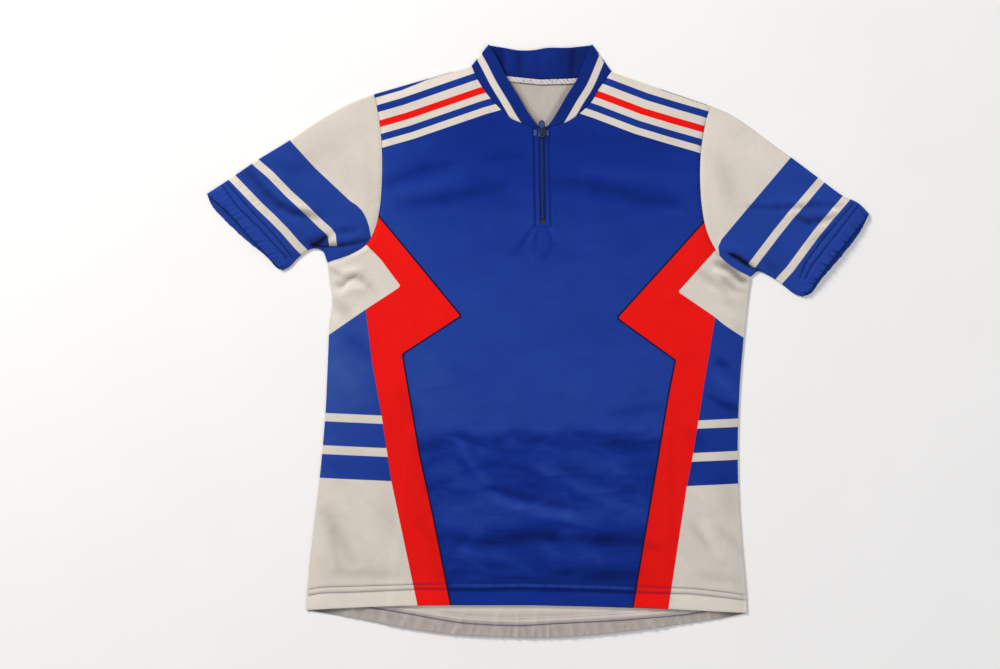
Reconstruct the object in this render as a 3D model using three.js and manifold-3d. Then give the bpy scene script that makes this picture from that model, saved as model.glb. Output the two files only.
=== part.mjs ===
// A cycling jersey lying on its back on a flat surface, front up.
// Millimetres. +Z is up, +Y runs from hem to collar, and the wearer's right side is at -X.
// Every piece of cloth is a thin closed wall. Lower layers rest on z = 0.
import * as THREE from 'three';
import { mergeVertices } from 'three/addons/utils/BufferGeometryUtils.js';
import Module from 'manifold-3d';

// Driving sizes of the cloth and its layers.
const WALL = 1.2;
const HALF = WALL / 2;
const SEAM = 0.3;
const LAYER = WALL + SEAM;

// How far the upper layer stands clear of the lower one, over the bare seam gap.
const FRONT_AIR = 1.9;
const SLEEVE_AIR = 2.3;
const CUFF_GATHER = 0.7;
const ARMHOLE_AIR = 1.3;
const NECK_AIR = 1.9;
const HEM_AIR = 0.4;
const EDGE_ROLL = 16;

// How many rows or columns of a grid each of these changes of height takes.
const BLEND = { neck: 2.5, armhole: 2.5, gather: 1.5, collar: 2, seamInset: 2 };

// Rear pocket panel, sewn on the outside of the back.
const POCKET = { top: -110.5, right: -160, left: 163, hemGap: 8 };

// Front zip: a slot in the front panel with the two tapes below its edges.
const ZIP = {
  topX: 4.5, topY: 267.5, bottomX: 6.2, bottomY: 148, hemX: -9,
  slotHalf: 3.6, tapeReach: 14, tapeWall: 1.0, placketRise: 0.8, placketHalf: 17, placketFade: 22,
  placketBelow: 50, placketRamp: 30,
  coilHalf: 2.4, coilRise: 1.4, coilStep: 0.5, coilFlank: 0.3, coilFromStop: 0.9, coilPastSlider: 0.8,
  tapeEnd: 9, tapesPart: 1.2,
};

// Where the height of the front over a tape is read: from the slot's edge outward, and up and down.
const PROBE = { clear: 0.1, step: 2.6, past: 0.5, near: 4 };

// Rows and columns of the cloth grids.
const ROWS = { belowPocketTop: 10, abovePocketTop: 9, armhole: 12, zipStart: 4 };
const FRONT_COLUMNS = { shoulder: 8, neck: 7 };
const BACK_COLUMNS = { shoulder: 5, neck: 4 };
const SLEEVE_STATIONS = 11;
const GATHER_EVERY = 3;
const COLLAR_WIDTH_STEPS = 3;
const BACK_LOOK_AROUND = 12;
const CURVE_FINENESS = 12;
const UNDERARM_Y = 90;

// Outlines as the garment lies, each from its lower end up or from side to centre: x, y.
const SIDE_RIGHT = [[-289.5, -335.5], [-285.5, -279], [-279, -223], [-272, -163], [-265.5, -88],
  [-262.5, -23], [-260.5, 21], [-257, 52], [-260, 74.5], [-263, 99]];
const SIDE_LEFT = [[261, -339], [259, -304], [254.5, -254], [250.5, -191.5], [249.5, -123],
  [252, -54], [256, -4], [261, 46], [265.5, 81]];
const ARMHOLE_RIGHT = [[-263, 99], [-236, 108], [-215, 121], [-204, 139.5], [-197.5, 167],
  [-194.5, 208.5], [-195.5, 252], [-200, 287], [-205, 309]];
const ARMHOLE_LEFT = [[265.5, 81], [246, 91.5], [230, 104], [219, 119.5], [210, 139.5],
  [204.5, 167], [202, 202], [203.5, 242], [209.5, 274.5], [216, 294.5]];
const SHOULDER_RIGHT = [[-205, 309], [-142.5, 327], [-82.5, 343.5]];
const SHOULDER_LEFT = [[216, 294.5], [152.5, 316], [91, 337]];
const NECK_FRONT_RIGHT = [[-82.5, 343.5], [-76, 328.5], [-66, 312.5], [-53, 297], [-34, 279],
  [-20.5, 273], [0.9, 267.5]];
const NECK_FRONT_LEFT = [[91, 337], [84.5, 328], [76, 316], [66.5, 299.5], [46, 280.5],
  [33, 273], [8.1, 267.5]];
const NECK_BACK_RIGHT = [[-82.5, 343.5], [-62.5, 337], [-40, 332.5], [0.9, 328]];
const NECK_BACK_LEFT = [[91, 337], [67.5, 333], [46, 329.5], [8.1, 328]];
const HEM_FRONT_RIGHT = [[-289.5, -335.5], [-247.5, -333], [-151, -329.5], [-12.6, -329]];
const HEM_FRONT_LEFT = [[261, -339], [162.5, -334], [77.5, -331], [-5.4, -329]];
const HEM_BACK_RIGHT = [[-289.5, -335.5], [-250, -341.5], [-197.5, -351.5], [-157.5, -358.5],
  [-97.5, -366], [-12.6, -369.5]];
const HEM_BACK_LEFT = [[261, -339], [234, -344.5], [189, -351.5], [109, -362], [37.5, -368.5],
  [-5.4, -369.5]];
const SLEEVES = {
  right: {
    top: [[-205, 309], [-240, 295.5], [-277.5, 273.5], [-311, 251], [-352.5, 225.5], [-387.5, 201.5],
      [-413.5, 184.5]],
    bottom: [[-263, 99], [-269.5, 114], [-283, 116.5], [-299, 106], [-319.5, 90.5]],
    cuffUpper: [[-319.5, 90.5], [-336.5, 106.5], [-357, 128.5], [-381, 156], [-397, 171],
      [-413.5, 184.5]],
    cuffLower: [[-319.5, 90.5], [-338.5, 107], [-366, 128.5], [-393.5, 154.5], [-408, 171],
      [-413.5, 184.5]],
  },
  left: {
    top: [[216, 294.5], [237.5, 285.5], [261, 270.5], [290, 249], [321, 226.5], [351, 204],
      [381, 182], [400, 173], [413.5, 159.5]],
    bottom: [[265.5, 81], [275, 88], [287.5, 83.5], [305, 72], [331, 57]],
    cuffUpper: [[331, 57], [348, 77], [369, 105], [395, 136.5], [413.5, 159.5]],
    cuffLower: [[331, 57], [353, 78], [378, 106], [402, 137], [413.5, 159.5]],
  },
};

// Top edge of the collar: right front band, back, left front band.
const COLLAR_TOP_RIGHT = [[-60, 368.4], [-51.5, 354.5], [-40, 332], [-24, 305.5], [-13.5, 287.5],
  [-1.5, 270.5]];
const COLLAR_TOP_LEFT = [[66, 368.4], [55.5, 352], [44, 327], [28.5, 297], [10.5, 270.5]];
const COLLAR_TOP_BACK = [[-60, 368.4], [-43.5, 367], [-24, 364], [-7.5, 364], [11.5, 367], [38, 367],
  [66, 368.4]];
const COLLAR_FRONT_RISE = 1.2;
const FOLD_STEPS = 4;

// Tape sewn over the back neck seam, on the inner face of the back.
const NECK_TAPE = { fromX: -66, toX: 74, height: 7, wall: 1.0, clear: 1.0, steps: 14 };

// Largest soft folds of the front: ends, half width and rise.
const FRONT_FOLDS = [
  { x0: -196, y0: 200, x1: -120, y1: 218, half: 15, rise: -0.9 },
  { x0: -168, y0: 171, x1: -40, y1: 192, half: 16, rise: -1.0 },
  { x0: -190, y0: 184, x1: -90, y1: 203, half: 14, rise: 0.9 },
  { x0: 35, y0: 192, x1: 176, y1: 171, half: 17, rise: -1.0 },
  { x0: 60, y0: 214, x1: 180, y1: 196, half: 15, rise: 0.7 },
  { x0: -98, y0: -118, x1: -59, y1: -174, half: 14, rise: 1.0 },
  { x0: -74, y0: -184, x1: 101, y1: -203, half: 13, rise: -0.9 },
  { x0: -110, y0: -226, x1: 120, y1: -230, half: 15, rise: 0.8 },
  { x0: -98, y0: -250, x1: 129, y1: -250, half: 13, rise: -0.9 },
  { x0: -120, y0: -276, x1: 120, y1: -276, half: 13, rise: 0.7 },
  { x0: -225, y0: -296, x1: 215, y1: -298, half: 12, rise: -0.8 },
  { x0: -250, y0: 71, x1: -200, y1: 60, half: 12, rise: -0.9 },
  { x0: 236, y0: 92, x1: 262, y1: 70, half: 12, rise: 1.2 },
];
const SLEEVE_FOLDS = {
  right: [
    { x0: -240, y0: 262, x1: -330, y1: 190, half: 20, rise: -0.9 },
    { x0: -215, y0: 150, x1: -290, y1: 140, half: 16, rise: 1.0 },
  ],
  left: [
    { x0: 277, y0: 166, x1: 384, y1: 167, half: 15, rise: -1.0 },
    { x0: 240, y0: 108, x1: 274, y1: 90, half: 12, rise: -1.0 },
    { x0: 240, y0: 238, x1: 330, y1: 190, half: 20, rise: 0.8 },
  ],
};

// Zip slider, its pull tab and the bottom stop.
const SLIDER = {
  y: 261.5, length: 13, width: 9.4, plate: 1.2, corner: 2.6, wing: 0.9, postWidth: 2.6, postLength: 2.6,
  wingInset: 0.5, wingShorter: 1, bridgeWidth: 2.4, bridgeLength: 9.6, bridgeCrest: 2, bridgeFoot: 1,
  eye: 1.15, rim: 0.8, eyeFromEnd: 3.2, axisHeight: 1.3,
};
const TAB = {
  wall: 1.2, pin: 1.2, width: 8.8, length: 12, corner: 1, heel: 0.5, taper: 0.4, tip: 0.6,
  window: 3.2, windowLength: 5,
};
const STOP = { width: 6, length: 3.6, wall: 1.4 };

const MATERIALS = {
  blueKnit: new THREE.MeshStandardMaterial({ color: '#1e378a', roughness: 0.85 }),
  whiteKnit: new THREE.MeshStandardMaterial({ color: '#cfc6bd', roughness: 0.9 }),
  darkTape: new THREE.MeshStandardMaterial({ color: '#14286e', roughness: 0.8 }),
  enamel: new THREE.MeshStandardMaterial({ color: '#2a4468', roughness: 0.45, metalness: 0.5 }),
  brass: new THREE.MeshStandardMaterial({ color: '#a98a4a', roughness: 0.4, metalness: 0.9 }),
};

const jersey = new THREE.Group();

function addPiece(name, geometry, material) {
  const mesh = new THREE.Mesh(geometry, material);
  mesh.name = name;
  jersey.add(mesh);
}

const mix = (a, b, t) => a + (b - a) * t;
const ease = (t) => {
  const c = Math.min(1, Math.max(0, t));
  return c * c * (3 - 2 * c);
};

// A smooth curve through a short table of x, y points.
function curveThrough(table) {
  const points = table.map(([x, y]) => new THREE.Vector3(x, y, 0));
  return new THREE.CatmullRomCurve3(points, false, 'centripetal');
}

function sampled(table, count) {
  return curveThrough(table).getSpacedPoints(count);
}

// The point of a curve at a value of x or y, where the curve runs one way along that axis.
function pointAt(table, axis, value) {
  const fine = curveThrough(table).getPoints(table.length * CURVE_FINENESS);
  const first = fine[0][axis];
  const last = fine[fine.length - 1][axis];
  const sign = last > first ? 1 : -1;
  for (let n = 1; n < fine.length; n += 1) {
    if ((fine[n][axis] - value) * sign >= 0) {
      const a = fine[n - 1];
      const b = fine[n];
      const t = (value - a[axis]) / (b[axis] - a[axis]);
      return a.clone().lerp(b, Math.min(1, Math.max(0, t)));
    }
  }
  return fine[fine.length - 1].clone();
}

// Points moved sideways, to the left of their direction of travel.
function shifted(points, distance) {
  return points.map((point, n) => {
    const before = points[Math.max(0, n - 1)];
    const after = points[Math.min(points.length - 1, n + 1)];
    const along = after.clone().sub(before).setZ(0).normalize();
    const amount = typeof distance === 'function' ? distance(n) : distance;
    return new THREE.Vector3(point.x - along.y * amount, point.y + along.x * amount, point.z);
  });
}

// A grid of points filled in between four boundary curves.
function fillBetween(first, last, start, end, across, along) {
  return along.map((v, j) => across.map((u, i) => {
    const point = new THREE.Vector3();
    for (const axis of ['x', 'y']) {
      const sides = mix(start[j][axis], end[j][axis], u) + mix(first[i][axis], last[i][axis], v);
      const lower = mix(start[0][axis], end[0][axis], u);
      const upper = mix(start[along.length - 1][axis], end[along.length - 1][axis], u);
      point[axis] = sides - mix(lower, upper, v);
    }
    return point;
  }));
}

// A closed solid between an outer and an inner grid of points, with a rim wherever a cell is left out.
function wallSolid(outer, inner, { kept = () => true, ring = false } = {}) {
  const rows = outer.length;
  const columns = outer[0].length;
  const positions = [];
  for (const grid of [outer, inner]) {
    for (const row of grid) {
      for (const point of row) positions.push(point.x, point.y, point.z);
    }
  }
  const layer = rows * columns;
  const cellsAcross = ring ? columns : columns - 1;
  const at = (i, j) => j * columns + (i % columns);
  const isKept = (i, j) => {
    if (j < 0 || j >= rows - 1) return false;
    if (!ring && (i < 0 || i >= cellsAcross)) return false;
    return kept((i + columns) % columns, j);
  };
  const faces = [];
  const quad = (a, b, c, d) => faces.push(a, b, c, a, c, d);
  for (let j = 0; j < rows - 1; j += 1) {
    for (let i = 0; i < cellsAcross; i += 1) {
      if (isKept(i, j)) {
        const corners = [at(i, j), at(i + 1, j), at(i + 1, j + 1), at(i, j + 1)];
        const below = corners.map((corner) => corner + layer);
        quad(...corners);
        quad(below[3], below[2], below[1], below[0]);
        const next = [[i, j - 1], [i + 1, j], [i, j + 1], [i - 1, j]];
        next.forEach(([besideI, besideJ], side) => {
          const turned = (side + 1) % 4;
          if (isKept(besideI, besideJ)) return;
          quad(corners[turned], corners[side], below[side], below[turned]);
        });
      }
    }
  }
  return closedGeometry(positions, faces);
}

// Drops unused vertices and turns the faces outward.
function closedGeometry(positions, faces) {
  const used = new Map();
  const packed = [];
  const index = faces.map((vertex) => {
    if (!used.has(vertex)) {
      used.set(vertex, used.size);
      packed.push(...positions.slice(vertex * 3, vertex * 3 + 3));
    }
    return used.get(vertex);
  });
  let volume = 0;
  const corner = (n) => new THREE.Vector3().fromArray(packed, index[n] * 3);
  for (let n = 0; n < index.length; n += 3) {
    volume += corner(n).dot(corner(n + 1).cross(corner(n + 2)));
  }
  if (volume < 0) index.reverse();
  const geometry = new THREE.BufferGeometry();
  geometry.setAttribute('position', new THREE.Float32BufferAttribute(packed, 3));
  geometry.setIndex(index);
  geometry.computeVertexNormals();
  return geometry;
}

// Lifts a grid of points by the same amount, up or down.
const lifted = (grid, rise) => grid.map((row) => row.map((p) => new THREE.Vector3(p.x, p.y, p.z + rise)));

// Height that the listed folds give a point.
function foldRise(folds, point) {
  return folds.reduce((sum, fold) => {
    const dx = fold.x1 - fold.x0;
    const dy = fold.y1 - fold.y0;
    const along = ((point.x - fold.x0) * dx + (point.y - fold.y0) * dy) / (dx * dx + dy * dy);
    const nearest = Math.min(1, Math.max(0, along));
    const away = Math.hypot(point.x - fold.x0 - dx * nearest, point.y - fold.y0 - dy * nearest);
    return sum + fold.rise * Math.exp(-((away / fold.half) ** 2));
  }, 0);
}

// Height of a row between hem and underarm. One row of every line lies on the pocket's top edge.
function sideHeight(row, hemY, underarmY) {
  const low = ROWS.belowPocketTop;
  if (row <= low) return mix(hemY, POCKET.top, row / low);
  return mix(POCKET.top, underarmY, (row - low) / ROWS.abovePocketTop);
}

const SIDE_ROWS = ROWS.belowPocketTop + ROWS.abovePocketTop;
const ROW_COUNT = SIDE_ROWS + ROWS.armhole + 1;
const SLOT_ROW = SIDE_ROWS + ROWS.zipStart;

// The centre line of the body, from hem to neck, with a row on the end of the zip slot.
function centreLine(hemY, neckY) {
  const line = [];
  for (let row = 0; row < ROW_COUNT; row += 1) {
    let y = sideHeight(row, hemY, UNDERARM_Y);
    if (row > SIDE_ROWS) y = mix(UNDERARM_Y, ZIP.bottomY, (row - SIDE_ROWS) / ROWS.zipStart);
    if (row > SLOT_ROW) y = mix(ZIP.bottomY, neckY, (row - SLOT_ROW) / (ROW_COUNT - 1 - SLOT_ROW));
    const below = mix(ZIP.hemX, ZIP.bottomX, (y - hemY) / (ZIP.bottomY - hemY));
    const above = mix(ZIP.bottomX, ZIP.topX, (y - ZIP.bottomY) / (ZIP.topY - ZIP.bottomY));
    const x = y < ZIP.bottomY ? below : Math.max(above, ZIP.topX);
    line.push(new THREE.Vector3(x, y, 0));
  }
  return line;
}

// One half of the front or back: side seam and armhole, shoulder and neck, hem, centre line.
function halfPanel({ side, armhole, shoulder, neck, hem, columns, outward }) {
  const shoulderPoints = sampled(shoulder, columns.shoulder);
  const neckPoints = shifted(sampled(neck, columns.neck), outward * SEAM / 2);
  const top = [...shoulderPoints.slice(0, -1), ...neckPoints];
  const armPoints = shifted(sampled(armhole, ROWS.armhole), outward * SEAM / 2);
  top[0].copy(armPoints[ROWS.armhole]);
  const hemY = side[0][1];
  const underarmY = side[side.length - 1][1];
  const sidePoints = [];
  for (let row = 0; row < SIDE_ROWS; row += 1) {
    sidePoints.push(pointAt(side, 'y', sideHeight(row, hemY, underarmY)));
  }
  const outer = [...sidePoints, ...armPoints];
  const inner = centreLine(hem[hem.length - 1][1], neck[neck.length - 1][1]);
  inner.forEach((point) => {
    point.x += outward * ZIP.slotHalf;
  });
  const count = top.length - 1;
  top[count].copy(inner[ROW_COUNT - 1]);
  const across = top.map((point) => (point.x - top[0].x) / (top[count].x - top[0].x));
  const hemPoints = across.map((u) => pointAt(hem, 'x', mix(hem[0][0], hem[hem.length - 1][0], u)));
  const along = inner.map((point) => (point.y - inner[0].y) / (inner[ROW_COUNT - 1].y - inner[0].y));
  return fillBetween(hemPoints, top, outer, inner, across, along);
}

// A whole panel: the wearer's right half, a narrow centre strip, and the left half.
function wholePanel(columns, rightTables, leftTables) {
  const right = halfPanel({ ...rightTables, columns, outward: -1 });
  const left = halfPanel({ ...leftTables, columns, outward: 1 });
  return right.map((row, j) => [...row, ...left[j].slice().reverse()]);
}

// Back panel: rests on the floor and steps over the rear pocket below it.
const backGrid = wholePanel(
  BACK_COLUMNS,
  { side: SIDE_RIGHT, armhole: ARMHOLE_RIGHT, shoulder: SHOULDER_RIGHT, neck: NECK_BACK_RIGHT,
    hem: HEM_BACK_RIGHT },
  { side: SIDE_LEFT, armhole: ARMHOLE_LEFT, shoulder: SHOULDER_LEFT, neck: NECK_BACK_LEFT,
    hem: HEM_BACK_LEFT },
);
const pocketRow = backGrid[ROWS.belowPocketTop];
const nearestColumn = (x) => pocketRow.reduce(
  (best, point, i) => (Math.abs(point.x - x) < Math.abs(pocketRow[best].x - x) ? i : best), 0);
const POCKET_FIRST = nearestColumn(POCKET.right);
const POCKET_LAST = nearestColumn(POCKET.left);
backGrid.forEach((row, j) => row.forEach((point, i) => {
  const overPocket = j <= ROWS.belowPocketTop && i >= POCKET_FIRST && i <= POCKET_LAST;
  point.z = HALF + (overPocket ? LAYER : 0);
}));
addPiece('back_panel', wallSolid(lifted(backGrid, HALF), lifted(backGrid, -HALF)), MATERIALS.blueKnit);

// Rear pocket panel: the back's own points over the pocket, laid one layer lower, short of the hem.
const pocketGrid = backGrid.slice(0, ROWS.belowPocketTop + 1)
  .map((row) => row.slice(POCKET_FIRST, POCKET_LAST + 1).map((point) => point.clone()));
pocketGrid[0].forEach((point, i) => {
  const next = pocketGrid[1][i];
  point.lerp(next, POCKET.hemGap / point.distanceTo(next));
});
pocketGrid.forEach((row) => row.forEach((point) => {
  point.z = HALF;
}));
addPiece('rear_pocket', wallSolid(lifted(pocketGrid, HALF), lifted(pocketGrid, -HALF)), MATERIALS.blueKnit);

// Height of a grid's surface at a place, or the floor layer's height outside it.
function surfaceHeight(grid, x, y) {
  const onTriangle = (a, b, c) => {
    const area = (b.x - a.x) * (c.y - a.y) - (c.x - a.x) * (b.y - a.y);
    const s = ((x - a.x) * (c.y - a.y) - (c.x - a.x) * (y - a.y)) / area;
    const t = ((b.x - a.x) * (y - a.y) - (x - a.x) * (b.y - a.y)) / area;
    return s >= 0 && t >= 0 && s + t <= 1 ? a.z + s * (b.z - a.z) + t * (c.z - a.z) : null;
  };
  for (let j = 0; j < grid.length - 1; j += 1) {
    for (let i = 0; i < grid[j].length - 1; i += 1) {
      const diagonal = [grid[j][i], grid[j + 1][i + 1]];
      const z = onTriangle(...diagonal, grid[j][i + 1]) ?? onTriangle(...diagonal, grid[j + 1][i]);
      if (z !== null) return z;
    }
  }
  return HALF;
}

// Height of the back panel under a point of the front and close round it.
function backHeight(point) {
  const reach = BACK_LOOK_AROUND;
  const around = [[0, 0], [reach, 0], [-reach, 0], [0, reach], [0, -reach]];
  return Math.max(...around.map(([dx, dy]) => surfaceHeight(backGrid, point.x + dx, point.y + dy)));
}

// Front panel: lies on the back, rolls down to it at the side, shoulder and hem, and has the zip slot.
const frontGrid = wholePanel(
  FRONT_COLUMNS,
  { side: SIDE_RIGHT, armhole: ARMHOLE_RIGHT, shoulder: SHOULDER_RIGHT, neck: NECK_FRONT_RIGHT,
    hem: HEM_FRONT_RIGHT },
  { side: SIDE_LEFT, armhole: ARMHOLE_LEFT, shoulder: SHOULDER_LEFT, neck: NECK_FRONT_LEFT,
    hem: HEM_FRONT_LEFT },
);
const LAST_ROW = ROW_COUNT - 1;
const LAST_COLUMN = frontGrid[0].length - 1;
const SLOT_COLUMN = (LAST_COLUMN - 1) / 2;

// Air below the edges of the front: none at side and shoulder seams, some at armhole, neck and hem.
function armholeAir(row) {
  const t = (row - SIDE_ROWS) / ROWS.armhole;
  return t > 0 ? ARMHOLE_AIR * Math.sin(Math.PI * t) : 0;
}
function topAir(column) {
  const fromSide = Math.min(column, LAST_COLUMN - column);
  return NECK_AIR * ease((fromSide - FRONT_COLUMNS.shoulder + 1) / BLEND.neck);
}
function frontAir(i, j) {
  const point = frontGrid[j][i];
  const edges = [
    { at: frontGrid[j][0], air: armholeAir(j) },
    { at: frontGrid[j][LAST_COLUMN], air: armholeAir(j) },
    { at: frontGrid[LAST_ROW][i], air: topAir(i) },
    { at: frontGrid[0][i], air: HEM_AIR },
  ];
  let air = FRONT_AIR;
  let edgeShare = 0;
  for (const edge of edges) {
    const share = Math.exp(-((Math.hypot(point.x - edge.at.x, point.y - edge.at.y) / EDGE_ROLL) ** 2));
    air -= (FRONT_AIR - edge.air) * share;
    edgeShare = Math.max(edgeShare, share);
  }
  const fromZip = Math.abs(point.x - ZIP.topX);
  const placket = ZIP.placketRise * (1 - ease((fromZip - ZIP.placketHalf) / ZIP.placketFade))
    * ease((point.y - ZIP.bottomY + ZIP.placketBelow) / ZIP.placketRamp);
  return Math.max(0, air + placket + foldRise(FRONT_FOLDS, point) * (1 - edgeShare));
}
frontGrid.forEach((row, j) => row.forEach((point, i) => {
  const atSeam = i === 0 || i === LAST_COLUMN;
  point.z = backHeight(point) + LAYER + (atSeam ? armholeAir(j) : frontAir(i, j));
}));
const outsideSlot = (i, j) => i !== SLOT_COLUMN || j < SLOT_ROW;
const frontPanel = wallSolid(lifted(frontGrid, HALF), lifted(frontGrid, -HALF), { kept: outsideSlot });
addPiece('front_panel', frontPanel, MATERIALS.blueKnit);

// The same points with the middle of each chord added.
function halved(points) {
  return points.flatMap((point, n) => (n ? [points[n - 1].clone().lerp(point, 0.5), point] : [point]));
}

// Sleeve: a flattened tube from armhole to cuff, folded along its top edge and sewn along its bottom.
// Its lower layer reaches a little past the upper one at the cuff, and both are gathered there.
function sleeveSolid(name, armhole, outward) {
  const cut = SLEEVES[name];
  const count = ROWS.armhole * 2;
  const stations = SLEEVE_STATIONS;
  const chords = shifted(sampled(armhole, ROWS.armhole), -outward * SEAM / 2);
  const armPoints = halved(chords);
  const column = outward < 0 ? 0 : LAST_COLUMN;
  const inset = (m) => WALL * Math.min(1, m / BLEND.seamInset);
  const bottom = shifted(sampled(cut.bottom, stations), (m) => outward * inset(m));
  const top = shifted(sampled(cut.top, stations), (m) => -outward * inset(m));
  bottom[0].copy(armPoints[0]);
  top[0].copy(armPoints[count]);
  const across = armPoints.map((_, k) => k / count);
  const along = bottom.map((_, m) => m / stations);
  const [upper, lower] = ['cuffUpper', 'cuffLower'].map((edge) => {
    const cuff = sampled(cut[edge], count);
    cuff[0].copy(bottom[stations]);
    cuff[count].copy(top[stations]);
    return fillBetween(armPoints, cuff, bottom, top, across, along);
  });
  const seamHeights = halved(frontGrid.slice(SIDE_ROWS).map((row) => row[column]));
  const gather = (m, k) => {
    const gathered = k % GATHER_EVERY === 1 && k < count;
    return gathered ? CUFF_GATHER * ease((m - stations + BLEND.gather) / BLEND.gather) : 0;
  };
  upper.forEach((row, m) => row.forEach((point, k) => {
    const arch = Math.sin(Math.PI * k / count);
    const seamAir = seamHeights[k].z - HALF - LAYER;
    const freeAir = arch * (SLEEVE_AIR + foldRise(SLEEVE_FOLDS[name], point));
    point.z = HALF + LAYER + Math.max(0, mix(seamAir, freeAir, ease(m / BLEND.armhole))) + gather(m, k);
  }));
  lower.forEach((row, m) => row.forEach((point, k) => {
    point.z = HALF + gather(m, k + 1) / 2;
  }));
  const outline = (edge) => shifted(edge, 1).map((point, m) => point.sub(edge[m]).setZ(0).normalize());
  const bottomOut = outline(bottom).map((direction) => direction.multiplyScalar(-outward));
  const topOut = outline(top).map((direction) => direction.multiplyScalar(outward));
  const ringAt = (m, offset) => {
    const turn = (centre, direction, from, to) => {
      const middle = (from.z + to.z) / 2;
      const radius = Math.abs(from.z - to.z) / 2 + offset;
      const sign = from.z > to.z ? 1 : -1;
      return [Math.PI / 4, 0, -Math.PI / 4].map((angle) => {
        const away = direction.clone().multiplyScalar(radius * Math.cos(angle));
        return centre.clone().add(away).setZ(middle + sign * radius * Math.sin(angle));
      });
    };
    const high = upper[m].map((p) => p.clone().setZ(p.z + offset));
    const low = lower[m].map((p) => p.clone().setZ(p.z - offset));
    return [
      ...high.slice().reverse(),
      ...turn(upper[m][0], bottomOut[m], upper[m][0], lower[m][0]),
      ...low,
      ...turn(upper[m][count], topOut[m], lower[m][count], upper[m][count]),
    ];
  };
  const rings = (offset) => upper.map((_, m) => ringAt(m, offset));
  return wallSolid(rings(HALF), rings(-HALF), { ring: true });
}
addPiece('sleeve_right', sleeveSolid('right', ARMHOLE_RIGHT, -1), MATERIALS.blueKnit);
addPiece('sleeve_left', sleeveSolid('left', ARMHOLE_LEFT, 1), MATERIALS.blueKnit);

// Collar: one strip from zip to zip. Its front bands lie on the front, its back lies on the floor,
// and it turns over at both shoulder points. Rows run along the strip, columns from seam to top edge.
function collarRows() {
  const frontBand = (column, side, neck, topEdge) => {
    const count = FRONT_COLUMNS.neck;
    const seams = shifted(sampled(neck, count), -side * SEAM / 2);
    const tops = sampled(topEdge, count);
    const band = [];
    for (let n = 0; n <= count; n += 1) {
      const z = frontGrid[LAST_ROW][column + (side < 0 ? n : -n)].z;
      seams[n].z = z;
      tops[n].z = z + COLLAR_FRONT_RISE * ease(n / BLEND.collar) * ease((count - n) / BLEND.collar);
      band.push([seams[n], tops[n]]);
    }
    return band;
  };
  const rightBand = frontBand(FRONT_COLUMNS.shoulder, -1, NECK_FRONT_RIGHT, COLLAR_TOP_RIGHT);
  const leftBand = frontBand(LAST_COLUMN - FRONT_COLUMNS.shoulder, 1, NECK_FRONT_LEFT, COLLAR_TOP_LEFT);
  const backCount = BACK_COLUMNS.neck;
  const backSeamRight = shifted(sampled(NECK_BACK_RIGHT, backCount), SEAM / 2);
  const backSeamLeft = shifted(sampled(NECK_BACK_LEFT, backCount), -SEAM / 2).reverse();
  const seams = [...backSeamRight, ...backSeamLeft];
  const share = seams.map((point) => (point.x - seams[0].x) / (seams[seams.length - 1].x - seams[0].x));
  const topFrom = COLLAR_TOP_BACK[0][0];
  const topTo = COLLAR_TOP_BACK[COLLAR_TOP_BACK.length - 1][0];
  const backBand = seams.map((seam, n) => {
    const edge = pointAt(COLLAR_TOP_BACK, 'x', mix(topFrom, topTo, share[n]));
    seam.z = HALF;
    edge.z = HALF;
    return [seam, edge];
  });
  return [
    ...rightBand.slice().reverse(),
    ...foldTurn(rightBand[0], backBand[0], -1),
    ...backBand,
    ...foldTurn(backBand[backBand.length - 1], leftBand[0], 1),
    ...leftBand,
  ];
}

// Rows that carry the strip round a fold, from one layer to the other.
function foldTurn(from, to, side) {
  const turn = [];
  for (let n = 1; n < FOLD_STEPS; n += 1) {
    const angle = Math.PI * (n / FOLD_STEPS - 0.5);
    turn.push(from.map((start, edge) => {
      const end = to[edge];
      const radius = Math.abs(start.z - end.z) / 2;
      const along = from[1].clone().sub(from[0]).setZ(0).normalize();
      const out = new THREE.Vector3(-along.y, along.x, 0).multiplyScalar(-side * radius * Math.cos(angle));
      const middle = start.clone().lerp(end, 0.5);
      const z = middle.z + Math.sin(angle) * (end.z - start.z) / 2;
      return middle.add(out).setZ(z);
    }));
  }
  return turn;
}

// Offsets a strip's points along its own normals.
function offsetAlongNormals(grid, distance) {
  const rows = grid.length;
  const columns = grid[0].length;
  return grid.map((row, j) => row.map((point, i) => {
    const alongRow = grid[j][Math.min(columns - 1, i + 1)].clone().sub(grid[j][Math.max(0, i - 1)]);
    const alongStrip = grid[Math.min(rows - 1, j + 1)][i].clone().sub(grid[Math.max(0, j - 1)][i]);
    const normal = alongStrip.cross(alongRow).normalize();
    return point.clone().addScaledVector(normal, distance);
  }));
}
const collarGrid = collarRows().map(([seam, edge]) => {
  const row = [];
  for (let n = 0; n <= COLLAR_WIDTH_STEPS; n += 1) row.push(seam.clone().lerp(edge, n / COLLAR_WIDTH_STEPS));
  return row;
});
const collarStrip = wallSolid(offsetAlongNormals(collarGrid, HALF), offsetAlongNormals(collarGrid, -HALF));
addPiece('collar', collarStrip, MATERIALS.blueKnit);

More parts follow.
